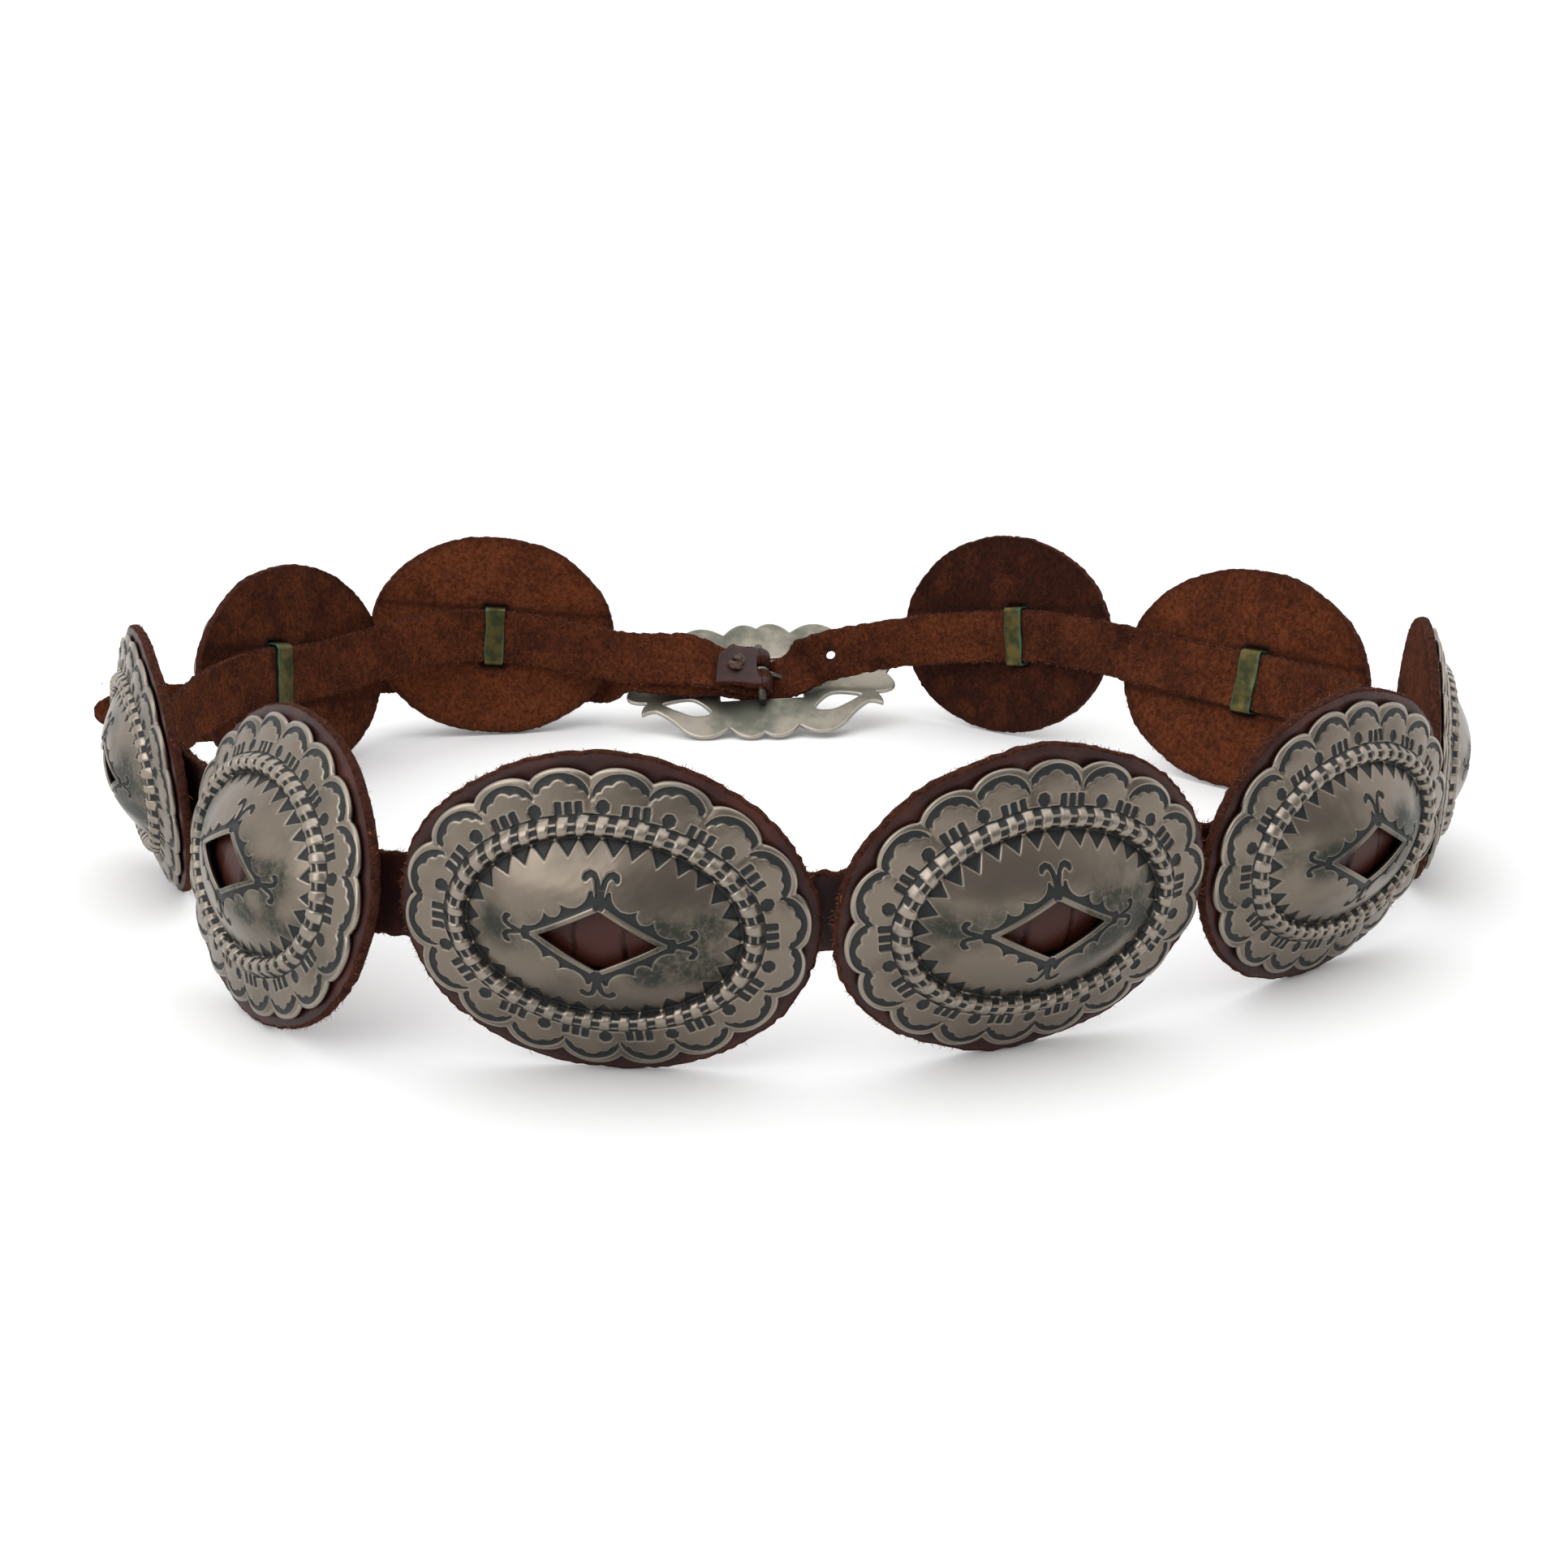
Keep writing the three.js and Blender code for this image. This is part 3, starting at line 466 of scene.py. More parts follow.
silver_colour = (0.185, 0.153, 0.122, 1)
worn_colour = (0.50, 0.44, 0.375, 1)
# Dark colour for the painted dark reflection on the domes and for random tarnish.
tarnish_and_reflection_colour = (0.042, 0.044, 0.036, 1)
grime_colour = (0.10, 0.09, 0.075, 1)
oxide_colour = (0.012, 0.0135, 0.013, 1)
silver, look = new_finish("stamped_silver")
oxide = look.ramp(look.kept("punched"), 0.07, -0.09)
grime = look.ramp(look.kept("punched"), 0.75, 0.05, 0.0, 0.35)
mottle = look.noise(750, 6, 0.7)
broad = look.noise(55)
# Painted reflection: the dark band kept on the domes, mottled, and real tarnish in broad random patches
# darken the silver.
reflection_band = look.times(look.kept("reflection_band"), look.ramp(mottle, 0.30, 0.62, 0.5, 1.0))
tarnish_and_reflection = look.plus(reflection_band, look.ramp(broad, 0.45, 0.72, 0.0, 0.5))
body = look.blend(tarnish_and_reflection, silver_colour, tarnish_and_reflection_colour)
body = look.blend(look.times(grime, broad), body, grime_colour)
body = look.blend(look.times(look.kept("worn"), 0.6), body, worn_colour)
look.give("Base Color", look.blend(oxide, body, oxide_colour))
look.give("Metallic", look.ramp(oxide, 0.0, 1.0, 1.0, 0.35))
look.give("Roughness", look.plus(look.ramp(tarnish_and_reflection, 0.0, 1.0, 0.30, 0.48), look.times(oxide, 0.22)))
look.give("Normal", look.relief(look.plus(look.times(mottle, 0.3), look.noise(190, 2)), 0.00007, 0.5))

for number, place in enumerate(places, 1):
    sheet = silver_sheet(f"silver_oval_{number}", place, 40 + number * 7)
    sheet.data.materials.append(silver)
    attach(sheet, "root")
    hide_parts(f"concho_{number}")

# The brass loops: a flat strip bent square behind each oval, its legs soldered under the silver. The strap
# runs through it. Years of sweat have greened the edges of the strip.
strap_width, strap_thick, loop_width, loop_metal, gap = 19.0, 2.6, 7.0, 1.0, 0.35
strap_level = -(disc_thick + gap + strap_thick / 2)
loop_half = (strap_width + 2 * 0.5 + loop_metal) / 2
loop_corner, leg_top, loop_sides = 1.3, 10.4, 24


def brass_loop(name, place, slip, seed):
    """A rounded rectangle carried round a square path with small corners. Its legs end inside the silver."""
    floor = strap_level - strap_thick / 2 - gap - loop_metal / 2
    turns = np.linspace(0, math.pi / 2, 7)
    down, over = loop_corner * (1 - np.cos(turns)), loop_corner * (1 - np.sin(turns))
    leg = np.linspace(leg_top, floor + loop_corner, 16, endpoint=False)
    base = np.linspace(-loop_half + loop_corner, loop_half - loop_corner, 24)
    path = np.concatenate([
        np.stack([np.full_like(leg, -loop_half), leg], -1),
        np.stack([down - loop_half, floor + over], -1)[:-1],
        np.stack([base, np.full_like(base, floor)], -1),
        np.stack([loop_half - over, floor + down], -1)[1:],
        np.stack([np.full_like(leg, loop_half), leg[::-1]], -1)])
    way = unit(np.gradient(path, axis=0))
    normal = np.stack([way[:, 1], -way[:, 0]], -1)
    corner = np.linspace(0, math.tau, loop_sides, endpoint=False)
    across = np.sign(np.cos(corner)) * np.abs(np.cos(corner)) ** 0.35 * loop_width / 2
    deep = np.sign(np.sin(corner)) * np.abs(np.sin(corner)) ** 0.6 * loop_metal / 2
    along = np.linspace(0, 1, len(path))[:, None]
    across = across[None, :] * (1 + 0.05 * wander(along * 60, across[None, :], seed, 17))
    dents = 0.14 * wander(along * 60, across * 0, seed + 1, 9)
    deep = deep[None, :] + dents * ease(np.abs(along - 0.5), 0.42, 0.3)
    points = np.dstack([slip + across, path[:, 0, None] + normal[:, 0, None] * deep,
                        path[:, 1, None] + normal[:, 1, None] * deep])
    ends = np.stack([points[0].mean(0), points[-1].mean(0)])
    edge = np.broadcast_to(np.abs(across) / (loop_width / 2), points.shape[:2]).ravel()
    points = put(place, np.concatenate([points.reshape(-1, 3), ends]))
    marks = {"edge": np.concatenate([edge, [1, 1]])}
    return lay_faces(name, points, len(path), loop_sides, marks=marks)


brass_colour = (0.125, 0.098, 0.030, 1)
dull_colour = (0.040, 0.046, 0.020, 1)
green_colour = (0.012, 0.085, 0.05, 1)
brass, look = new_finish("sweated_brass")
stain = look.noise(230, 4)
body = look.blend(look.ramp(stain, 0.35, 0.66), brass_colour, dull_colour)
green = look.times(look.ramp(look.kept("edge"), 0.80, 0.99), look.ramp(look.noise(260), 0.30, 0.5, 0.45, 1.0))
look.give("Base Color", look.blend(green, body, green_colour))
look.give("Metallic", look.ramp(green, 0.0, 1.0, 0.9, 0.0))
look.give("Roughness", look.ramp(stain, 0.3, 0.7, 0.34, 0.55))
look.give("Normal", look.relief(stain, 0.0001, 0.6))

for number, place in enumerate(places, 1):
    strip = brass_loop(f"brass_loop_{number}", place, stations[number - 1, 5], 300 + number * 5)
    strip.data.materials.append(brass)
    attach(strip, "root")

# The leather ovals: thick belt leather cut by hand, dark polished grain in front with a pressed line near
# the edge, raw furry edges and a suede back. A wad of the same leather fills the dome behind the diamond.
suede_tones = [0.98, 0.5, 0.5, 0.55, 0.6, 0.5, 0.45, 0.55, 0.75, 0.1]
wad_length, wad_height, wad_level, wad_rise, wad_crease = 14.0, 8.0, 9.0, 1.1, 5.6
disc_columns, disc_fibres = 192, 900


def leather_oval(name, place, slip, seed, tone):
    """Rings of points from the middle of the front round the edge to the middle of the back. The edge is cut
    a little uneven, the front's rim rounds over, and the wad stands up in the middle."""
    rng = np.random.default_rng(seed)
    angle = math.tau * np.arange(disc_columns) / disc_columns
    c, s = np.cos(angle), np.sin(angle)
    outline = 1 + 0.006 * wander(c * 30, s * 30, seed, 24) + 0.0012 * wander(c * 60, s * 60, seed + 1, 5)
    fur = 0.0035 * rng.normal(0, 1, disc_columns)
    over = np.concatenate([np.linspace(0.04, 0.36, 22), np.linspace(0.39, 0.93, 10),
                           np.linspace(0.945, 1.0, 7)])
    edge = [1.004, 1.006, 1.004, 0.997, 0.985, 0.96, 0.9]
    spread = np.concatenate([over, edge, np.linspace(0.84, 0.05, 22)])
    level = np.concatenate([-0.5 * ease(over, 0.955, 1.0), [-1.0, -1.6, -2.2, -2.75, -2.93],
                            np.full(24, -disc_thick)])
    side = np.concatenate([np.full(37, 1.0), [0.6, 0.2, 0, 0, -0.1, -0.35, -0.7], np.full(24, -1.0)])
    front, behind = (side[:, None] > 0.5) * 1.0, (side[:, None] <= -0.5) * 1.0
    shape = outline[None, :] + fur[None, :] * ease(spread, 0.94, 1.0)[:, None]
    x = spread[:, None] * shape * c[None, :] * disc_length / 2
    y = spread[:, None] * shape * s[None, :] * disc_height / 2
    z = np.repeat(level[:, None], disc_columns, axis=1)
    wad = np.hypot(x / wad_length, y / wad_height)
    fold_line = np.abs(x + 0.25 * wander(y, y * 0, seed + 2, 9))
    crease = np.exp(-((fold_line - wad_crease) / 0.42) ** 2)
    wad_form = wad_level + wad_rise * (1 - wad ** 2) - 0.75 * crease - 0.5 * ease(np.abs(x), 5.4, 6.4)
    z += front * ease(wad, 1.22, 0.92) * wad_form
    z -= front * 0.22 * np.exp(-((np.hypot(x / disc_length, y / disc_height) * 2 - 0.925) / 0.007) ** 2)
    slit = np.minimum(*[box_edge(x - slip, y - way * loop_half, loop_width / 2 + 0.3, 0.75)
                        for way in (-1, 1)])
    z += behind * (1.5 * ease(slit, 0.35, -0.3) - 0.35 * np.exp(-((slit - 0.9) / 0.7) ** 2))
    z += behind * 0.10 * wander(x, y, seed + 3, 2.4) + (front + behind) * 0.10 * wander(x, y, seed + 4, 30)
    ends = np.array([[0, 0, wad_level + wad_rise], [0, 0, -disc_thick]])
    points = np.concatenate([np.dstack([x, y, z]).reshape(-1, 3), ends])
    # Painted shadow: a dark band on the back just above and below the strap, where the strap shades the
    # suede.
    strap_shadow = 0.6 * np.exp(-((np.abs(y) - strap_width / 2 - 0.5) / 1.2) ** 2)
    # Darker round the loop slits (real stains) and along the back's rim, partly a burnished edge and partly
    # painted shade.
    stains_and_shade = behind * (ease(slit, 2.6, 0.2) + 0.55 * ease(spread, 0.93, 1.0)[:, None] + strap_shadow)
    # Painted shade in the creases either side of the wad.
    stains_and_shade += front * crease * (wad < 1.1)
    marks = {
        "side": np.concatenate([np.repeat(side, disc_columns), [1, -1]]),
        "stains_and_shade": np.concatenate([stains_and_shade.ravel(), [0, 0]]),
        "rubbed": np.concatenate([(front * ease(wad, 1.15, 1.0)).ravel(), [1, 0]]),
        "pale": np.full(len(points), tone),
    }
    return lay_faces(name, put(place, points), len(spread), disc_columns, marks=marks)


suede_light = (0.060, 0.0155, 0.0060, 1), (0.225, 0.064, 0.025, 1)
suede_dark = (0.015, 0.0062, 0.0048, 1), (0.062, 0.0175, 0.0095, 1)
raw_edge = (0.022, 0.008, 0.0065, 1), (0.095, 0.033, 0.020, 1)
disc_grain = (0.022, 0.0055, 0.0042, 1), (0.062, 0.0150, 0.0095, 1)
strap_grain = (0.026, 0.010, 0.010, 1), (0.075, 0.022, 0.014, 1)
fibre_colours = (0.055, 0.016, 0.008, 1), (0.28, 0.090, 0.034, 1)
# Darker suede for real stains and for painted shade and shadow, and darker grain for painted shade in the
# wad's creases.
sweat_and_shadow_colour, crease_shade_colour = (0.022, 0.009, 0.007, 1), (0.016, 0.006, 0.005, 1)
wad_colour = (0.044, 0.010, 0.006, 1)


def leather_finish(name, grain_colours):
    """Suede, raw edge and polished grain in one material, told apart by the mark kept as side."""
    material, look = new_finish(name)
    side, stains_and_shade = look.kept("side"), look.kept("stains_and_shade")
    nap = look.noise(640, 8, 0.8)
    light = look.blend(look.ramp(nap, 0.32, 0.7), *suede_light)
    dark = look.blend(look.ramp(nap, 0.3, 0.72), *suede_dark)
    shade = look.plus(look.kept("pale"), look.ramp(look.noise(70, 7, 0.7), 0.30, 0.70, -0.42, 0.30))
    suede = look.blend(shade, dark, light)
    # Darker suede: real stains round the loop slits, painted shade along the back's rim and painted shadow
    # beside the strap.
    suede = look.blend(look.times(stains_and_shade, look.ramp(nap, 0.2, 0.5)), suede, sweat_and_shadow_colour)
    grain = look.blend(look.ramp(look.noise(75, 5, 0.65), 0.42, 0.78), *grain_colours)
    grain = look.blend(look.kept("rubbed"), grain, wad_colour)
    # Painted shade in the wad's creases.
    grain = look.blend(look.times(stains_and_shade, 0.85), grain, crease_shade_colour)
    on_grain, on_back = look.ramp(side, 0.35, 0.85), look.ramp(side, -0.25, -0.75)
    surface = look.blend(on_back, look.blend(look.ramp(nap, 0.3, 0.66), *raw_edge), suede)
    look.give("Base Color", look.blend(on_grain, surface, grain))
    look.give("Roughness", look.ramp(on_grain, 0.0, 1.0, 0.94, 0.46))
    look.give("Specular IOR Level", look.ramp(on_grain, 0.0, 1.0, 0.05, 0.26))
    furry = look.relief(nap, 0.0014, 0.9)
    pitted = look.relief(look.noise(900, 6, 0.65), 0.00022, 0.55)
    look.give("Normal", look.blend(on_grain, furry, pitted, "VECTOR"))
    return material


def fibres(name, roots, ways, length, seed, material):
    """Loose fibres: each a thin three-sided spike with one bend, rooted just inside the leather."""
    rng = np.random.default_rng(seed)
    count = len(roots)
    ways = unit(ways + rng.normal(0, 0.55, (count, 3)))
    side = unit(np.cross(ways, rng.normal(0, 1, (count, 3))))
    other = np.cross(ways, side)
    reach = (length * rng.gamma(3.0, 0.33, count))[:, None]
    thick = rng.uniform(0.045, 0.085, count)[:, None]
    middle = roots + ways * reach * 0.5 + side * reach * rng.uniform(-0.22, 0.22, (count, 1))
    tip = roots + ways * reach * 0.8 + (side + other) * reach * rng.uniform(-0.4, 0.4, (count, 1))
    turns = [(math.cos(a), math.sin(a)) for a in (0.0, math.tau / 3, 2 * math.tau / 3)]
    base = [roots - ways * 0.15 + (side * u + other * v) * thick for u, v in turns]
    bend = [middle + (side * u + other * v) * thick * 0.75 for u, v in turns]
    points = np.stack(base + bend + [tip], axis=1).reshape(-1, 3)
    first = 7 * np.arange(count)[:, None]
    quads = np.concatenate([first + np.array([a, b, b + 3, a + 3]) for a, b in ((0, 1), (1, 2), (2, 0))])
    mesh = bpy.data.meshes.new(name)
    sharp = np.concatenate([first + np.array(t) for t in ((2, 1, 0), (3, 4, 6), (4, 5, 6), (5, 3, 6))])
    mesh.from_pydata((points * 0.001).tolist(), [], quads.tolist() + sharp.tolist())
    piece = add_object(name, mesh)
    piece.data.materials.append(material)
    return piece


disc_leather = leather_finish("oval_leather", disc_grain)
fluff, look = new_finish("leather_fibre")
look.give("Base Color", look.blend(look.ramp(look.noise(300, 2), 0.35, 0.65), *fibre_colours))
look.give("Roughness", 0.9)

fringe_roots, fringe_ways = [], []
for number, place in enumerate(places, 1):
    slip, tone = stations[number - 1, 5], suede_tones[number - 1]
    oval = leather_oval(f"leather_oval_{number}", place, slip, 500 + number * 9, tone)
    oval.data.materials.append(disc_leather)
    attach(oval, "root")
    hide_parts(f"backing_{number}")
    rng = np.random.default_rng(900 + number)
    around = rng.uniform(0, math.tau, disc_fibres)
    lane = rng.uniform(-2.9, -0.6, disc_fibres)
    c, s = np.cos(around), np.sin(around)
    outward = unit(np.stack([c / disc_length, s / disc_height, around * 0], -1))
    root = put(place, np.stack([c * disc_length / 2, s * disc_height / 2, lane], -1) - outward * 0.1)
    clear = root[:, 2] > 2.5
    fringe_roots.append(root[clear])
    fringe_ways.append(outward[clear] @ place[0].T)
fringe_roots, fringe_ways = np.concatenate(fringe_roots), np.concatenate(fringe_ways)
fringe = fibres("oval_fibres", fringe_roots, fringe_ways, 0.75, 77, fluff)
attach(fringe, "root")

# The buckle's place, leaning back on its lower edge, and its sizes. It is an open silver plate with a
# soldered bar behind the opening.
buckle_length, buckle_height, buckle_thick = 105.0, 57.6, 2.0
opening_length, opening_half = 32.0, strap_width / 2 + 0.8
bar_radius, bar_drop = 1.5, 4.2
buckle_axes = standing_axes(91.0, -55.0, -3.6)
buckle_rise = buckle_height / 2 * abs(buckle_axes[2, 1]) + buckle_thick / 2 * abs(buckle_axes[2, 2])
buckle_place = (buckle_axes, np.array([-0.096 * pitch, 1.569 * pitch, buckle_rise]) + shift)

# The strap: one strip of the same leather, suede towards the wearer and grain outside. Its left end is
# folded round the buckle's bar, the other passes out through the buckle and on as the free tail.
layer_gap = 0.5
layer_step = strap_thick + layer_gap
fold_radius = bar_radius + gap + strap_thick / 2
main_level = fold_radius - bar_drop
tail_level = main_level + layer_step
under_plate = -(buckle_thick / 2 + layer_gap + strap_thick / 2)
flap_length, flap_chamfer, tail_past = 21.0, 6.0, 57.0
strap_sides, edge_fibres, face_fibres = 30, 9500, 7000
spare_hole_past, spare_hole_radius, lace_before = 18.5, 1.8, 13.0
tail_heights, rim_clear = (-0.216, -0.198), 0.7


def key(place, x, y, z, way, width, hold=0.0):
    """A place on the strap with its way ahead and the way up its width."""
    axes, _ = place
    way, width = unit(axes @ np.array(way, float)), unit(axes @ np.array(width, float))
    return put(place, np.array([x, y, z], float)), way, width, hold


def buckle_key(x, y, z, twist, swing=0.0, rise=0.0):
    """A place in the buckle's frame, the width turned by the twist in degrees."""
    a = math.radians(twist)
    return key(buckle_place, x, y, z, (1, rise, swing), (0, math.cos(a), -math.sin(a)))


def loop_keys(i):
    """The two places just beside the brass loop of oval i, where the strap lies straight."""
    slip = stations[i, 5]
    return [key(places[i], slip + side * loop_width * 0.6, 0, strap_level, (1, 0, 0), (0, 1, 0), 0.3)
            for side in (-1, 1)]


def tail_key(i, share):
    """The place on the dome of oval i, at a share of its height, where the tail crosses it."""
    lift = foot_level + dome_rise + strap_thick / 2 + layer_gap
    return key(places[i], 0, share * concho_height, lift, (1, 0, 0), (0, 1, 0), 0.2)


def tail_rim_key(end, tip):
    """The place over the first oval's rim, end -1 or 1, the tail tipped by some degrees to clear it."""
    a = math.radians(tip)
    lift = flange_top + rim_clear + strap_thick / 2 + layer_gap + math.sin(a) * strap_width / 2
    return key(places[0], end * 0.48 * disc_length, tail_heights[0] * concho_height, lift, (1, 0, -0.3 * end),
               (0, math.cos(a), math.sin(a)))


def strap_run(keys, spacing=0.8):
    """Places, ways and widths along the keys: between two keys the place follows a cubic with their ways,
    and the width turns smoothly from one key's to the next."""
    parts = []
    for (pa, ta, wa, hold), (pb, tb, wb, _) in zip(keys[:-1], keys[1:]):
        span = np.linalg.norm(pb - pa)
        s = np.linspace(0, 1, max(4, int(span / spacing)), endpoint=False)[:, None]
        pull = 0.75 * span
        p = (pa * (2 * s ** 3 - 3 * s ** 2 + 1) + pb * (3 * s ** 2 - 2 * s ** 3)
             + ta * pull * (s ** 3 - 2 * s ** 2 + s) + tb * pull * (s ** 3 - s ** 2))
        t = ((pa - pb) * (6 * s ** 2 - 6 * s) + ta * pull * (3 * s ** 2 - 4 * s + 1)
             + tb * pull * (3 * s ** 2 - 2 * s))
        turned = np.clip((s - hold) / (1 - 2 * hold), 0, 1)
        w = wa + (wb - wa) * turned * turned * (3 - 2 * turned)
        parts.append(np.concatenate([p, t, w], axis=1))
    last = keys[-1]
    parts.append(np.concatenate([last[0], last[1], last[2]])[None, :])
    run = np.concatenate(parts)
    p, t, w = run[:, :3], run[:, 3:6], run[:, 6:]
    t = unit(t)
    w = unit(w - t * np.sum(w * t, axis=1, keepdims=True))
    return p, w, np.cross(t, w)


def travelled(points):
    """How far along a line each of its points lies."""
    return np.concatenate([[0], np.cumsum(np.linalg.norm(np.diff(points, axis=0), axis=1))])


main = strap_run([
    buckle_key(0, 0, main_level, 0),
    buckle_key(opening_length * 0.31, 0, -bar_drop - layer_gap, 2, -0.5),
    buckle_key(opening_length * 0.95, 0.03 * strap_width, -5.5 * strap_thick, 40, -0.1),
    buckle_key(opening_length * 1.45, 0, -6.2 * strap_thick, 52, -0.1, 0.1),
    loop_keys(0)[0]], 0.6)
along_main = travelled(main[0])
inside_flap = along_main <= flap_length
flap_share = along_main[inside_flap][:, None] / flap_length
flap_drop = 2 * fold_radius * (1 - flap_share) + (layer_step + 1.4 * layer_gap) * flap_share
flap = [main[0][inside_flap] - main[2][inside_flap] * flap_drop, main[1][inside_flap], -main[2][inside_flap]]
flap = [part[::-1] for part in flap]
bend = -math.pi / 2 - math.pi * np.arange(1, 14) / 14
turn_out = np.stack([np.cos(bend), bend * 0, np.sin(bend)], -1)
fold = [put(buckle_place, turn_out * fold_radius - np.array([0, 0, bar_drop])),
        np.repeat((buckle_axes @ np.array([0.0, 1.0, 0.0]))[None], 13, axis=0), turn_out @ buckle_axes.T]
tip_start = tail_key(1, tail_heights[1])[0]
tip_way = places[1][0] @ unit(np.array([0.93, 0.03, 0.34]))
tip_width = unit(places[1][0] @ np.array([-0.03, 1.0, 0.2]))
ring = strap_run([k for i in range(10) for k in loop_keys(i)] + [
    buckle_key(-opening_length * 0.62, -0.05 * strap_width, -4.1 * strap_thick, 55, 0.25, -0.25),
    buckle_key(-opening_length * 0.28, 0, -0.6, 6, 0.45),
    buckle_key(0, 0, tail_level, 0),
    buckle_key(opening_length / 2, 0, under_plate, 0, -0.12),
    buckle_key(opening_length * 0.85, 0.04 * strap_width, under_plate - layer_gap, 4, -0.1, 0.03),
    buckle_key(opening_length * 1.55, 0.08 * strap_width, under_plate - 2.8 * strap_thick, 32, 0, 0.03),
    tail_rim_key(-1, 26), tail_key(0, tail_heights[0]), tail_rim_key(1, 0), tail_key(1, tail_heights[1]),
    (tip_start + tip_way * tail_past, tip_way, tip_width, 0.0)], 0.9)
spine, up, out = [np.concatenate([flap[i], fold[i], main[i][:-1], ring[i]]) for i in range(3)]
travel = travelled(spine)


def strap_body(name):
    """A rounded strip: 30 points round each section, narrower towards the tail's tip and with one corner cut
    from the flap. The edges are furry: every point of them stands a little in or out."""
    rng = np.random.default_rng(5)
    corner = math.tau * (np.arange(strap_sides) + 0.5) / strap_sides
    a = np.sign(np.cos(corner)) * np.abs(np.cos(corner)) ** 0.16
    b = np.sign(np.sin(corner)) * np.abs(np.sin(corner)) ** 0.42
    left = travel[-1] - travel
    width = np.interp(left, [0, 1.5, 6.6, 14.5, 22.5], [0.16, 0.36, 0.68, 0.90, 1.0])[:, None]
    upper = np.minimum(1, 1 - 2 * flap_chamfer / strap_width * (1 - travel / flap_chamfer))[:, None]
    across = a[None, :] * strap_width / 2 * width
    across = np.where(a[None, :] > 0, across * upper, across)
    fur = ease(np.abs(a), 0.86, 0.97)[None, :]
    uneven = 0.16 * rng.normal(0, 1, (len(spine), strap_sides))
    uneven = uneven + 0.22 * wander(travel[:, None], a[None, :] * 9, 61, 5.0)
    across = across + np.sign(a)[None, :] * fur * uneven
    across = across + 0.25 * wander(travel[:, None], np.sign(a)[None, :] * 99, 62, 42)
    deep = b[None, :] * strap_thick / 2 * (1 - 0.3 * (1 - width))
    on_suede = (b < -0.5)[None, :] * 1.0
    deep = deep + on_suede * 0.09 * wander(travel[:, None], across, 63, 2.2)
    deep = deep + 0.05 * wander(travel[:, None], across, 64, 12)
    points = spine[:, None, :] + up[:, None, :] * across[..., None] + out[:, None, :] * deep[..., None]
    side = np.where(b > 0.9, 1.0, np.where(b < -0.8, -1.0, 0.0))
    total = len(spine)
    ends = np.stack([points[0].mean(0), points[-1].mean(0)])
    pale = np.clip(0.55 + 0.18 * wander(travel, travel * 0, 65, 70), 0, 1)
    marks = {
        "side": np.concatenate([np.tile(side, total), [0, 0]]),
        "stains_and_shade": np.zeros(total * strap_sides + 2),
        "rubbed": np.zeros(total * strap_sides + 2),
        "pale": np.concatenate([np.repeat(pale, strap_sides), [0.9, 0.9]]),
    }
    points = np.concatenate([points.reshape(-1, 3), ends])
    return lay_faces(name, points, total, strap_sides, marks=marks)


def rod(name, start, end, radius, sides=24):
    """A closed round rod between two points."""
    start, end = np.asarray(start, float), np.asarray(end, float)
    way = unit(end - start)
    side = unit(np.cross(way, [0.3, 0.5, 0.81]))
    other = np.cross(way, side)
    turn = math.tau * np.arange(sides) / sides
    ring = radius * (np.cos(turn)[:, None] * side + np.sin(turn)[:, None] * other)
    points = np.concatenate([start + ring, end + ring, [start, end]])
    return lay_faces(name, points, 2, sides)


def worked_mesh(piece):
    """The piece's mesh with its modifiers carried out."""
    graph = bpy.context.evaluated_depsgraph_get()
    return bpy.data.meshes.new_from_object(piece.evaluated_get(graph))


def cut_from(piece, cutters):
    """The piece less the cutters, as a plain mesh. The cutters are removed."""
    for cutter in cutters:
        step = piece.modifiers.new("cut", "BOOLEAN")
        step.operation, step.solver, step.object = "DIFFERENCE", "EXACT", cutter
    mesh = worked_mesh(piece)
    piece.modifiers.clear()
    old, piece.data = piece.data, mesh
    bpy.data.meshes.remove(old)
    for cutter in cutters:
        bpy.data.objects.remove(cutter)
    return piece


strap_leather = leather_finish("strap_leather", strap_grain)
strap = strap_body("belt_strap_leather")
in_buckle = (spine - buckle_place[1]) @ buckle_place[0]
beside_hole = np.abs(in_buckle[:, 0] + opening_length * 0.28 + spare_hole_past)
in_last_third = travel > travel[-1] - 330
spare = int(np.argmin(np.where(in_last_third, beside_hole, 99)))
bar_low, bar_high = put(buckle_place, np.array([[0, -2.0, -bar_drop], [0, 2.0, -bar_drop]]))
strap = cut_from(strap, [
    rod("slot", bar_low, bar_high, fold_radius + strap_thick / 2 + 0.2),
    rod("spare_hole", spine[spare] - out[spare] * 3, spine[spare] + out[spare] * 3, spare_hole_radius)])
strap.data.materials.append(strap_leather)
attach(strap, "root")
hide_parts("belt_strap")

rng = np.random.default_rng(31)
pick = rng.integers(20, len(spine) - 4, edge_fibres)
edge = rng.choice([-1.0, 1.0], edge_fibres)
level = rng.uniform(-1.25, 0.9, edge_fibres)
edge_roots = spine[pick] + up[pick] * (edge * strap_width / 2 * 0.985)[:, None] + out[pick] * level[:, None]
edge_ways = up[pick] * edge[:, None] - out[pick] * 0.5
pick = rng.integers(20, len(spine) - 30, face_fibres)
lane = rng.uniform(-9, 9, face_fibres)
face_roots = spine[pick] + up[pick] * lane[:, None] - out[pick] * 1.28
face_ways = -out[pick] * 0.35 + up[pick] * rng.normal(0, 1, (face_fibres, 1))
face_ways = face_ways + np.cross(up[pick], out[pick]) * rng.normal(0, 1, (face_fibres, 1))
lint_roots, lint_ways = np.concatenate([edge_roots, face_roots]), np.concatenate([edge_ways, face_ways])
lint = fibres("strap_fibres", lint_roots, lint_ways, 0.85, 78, fluff)
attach(lint, "root")

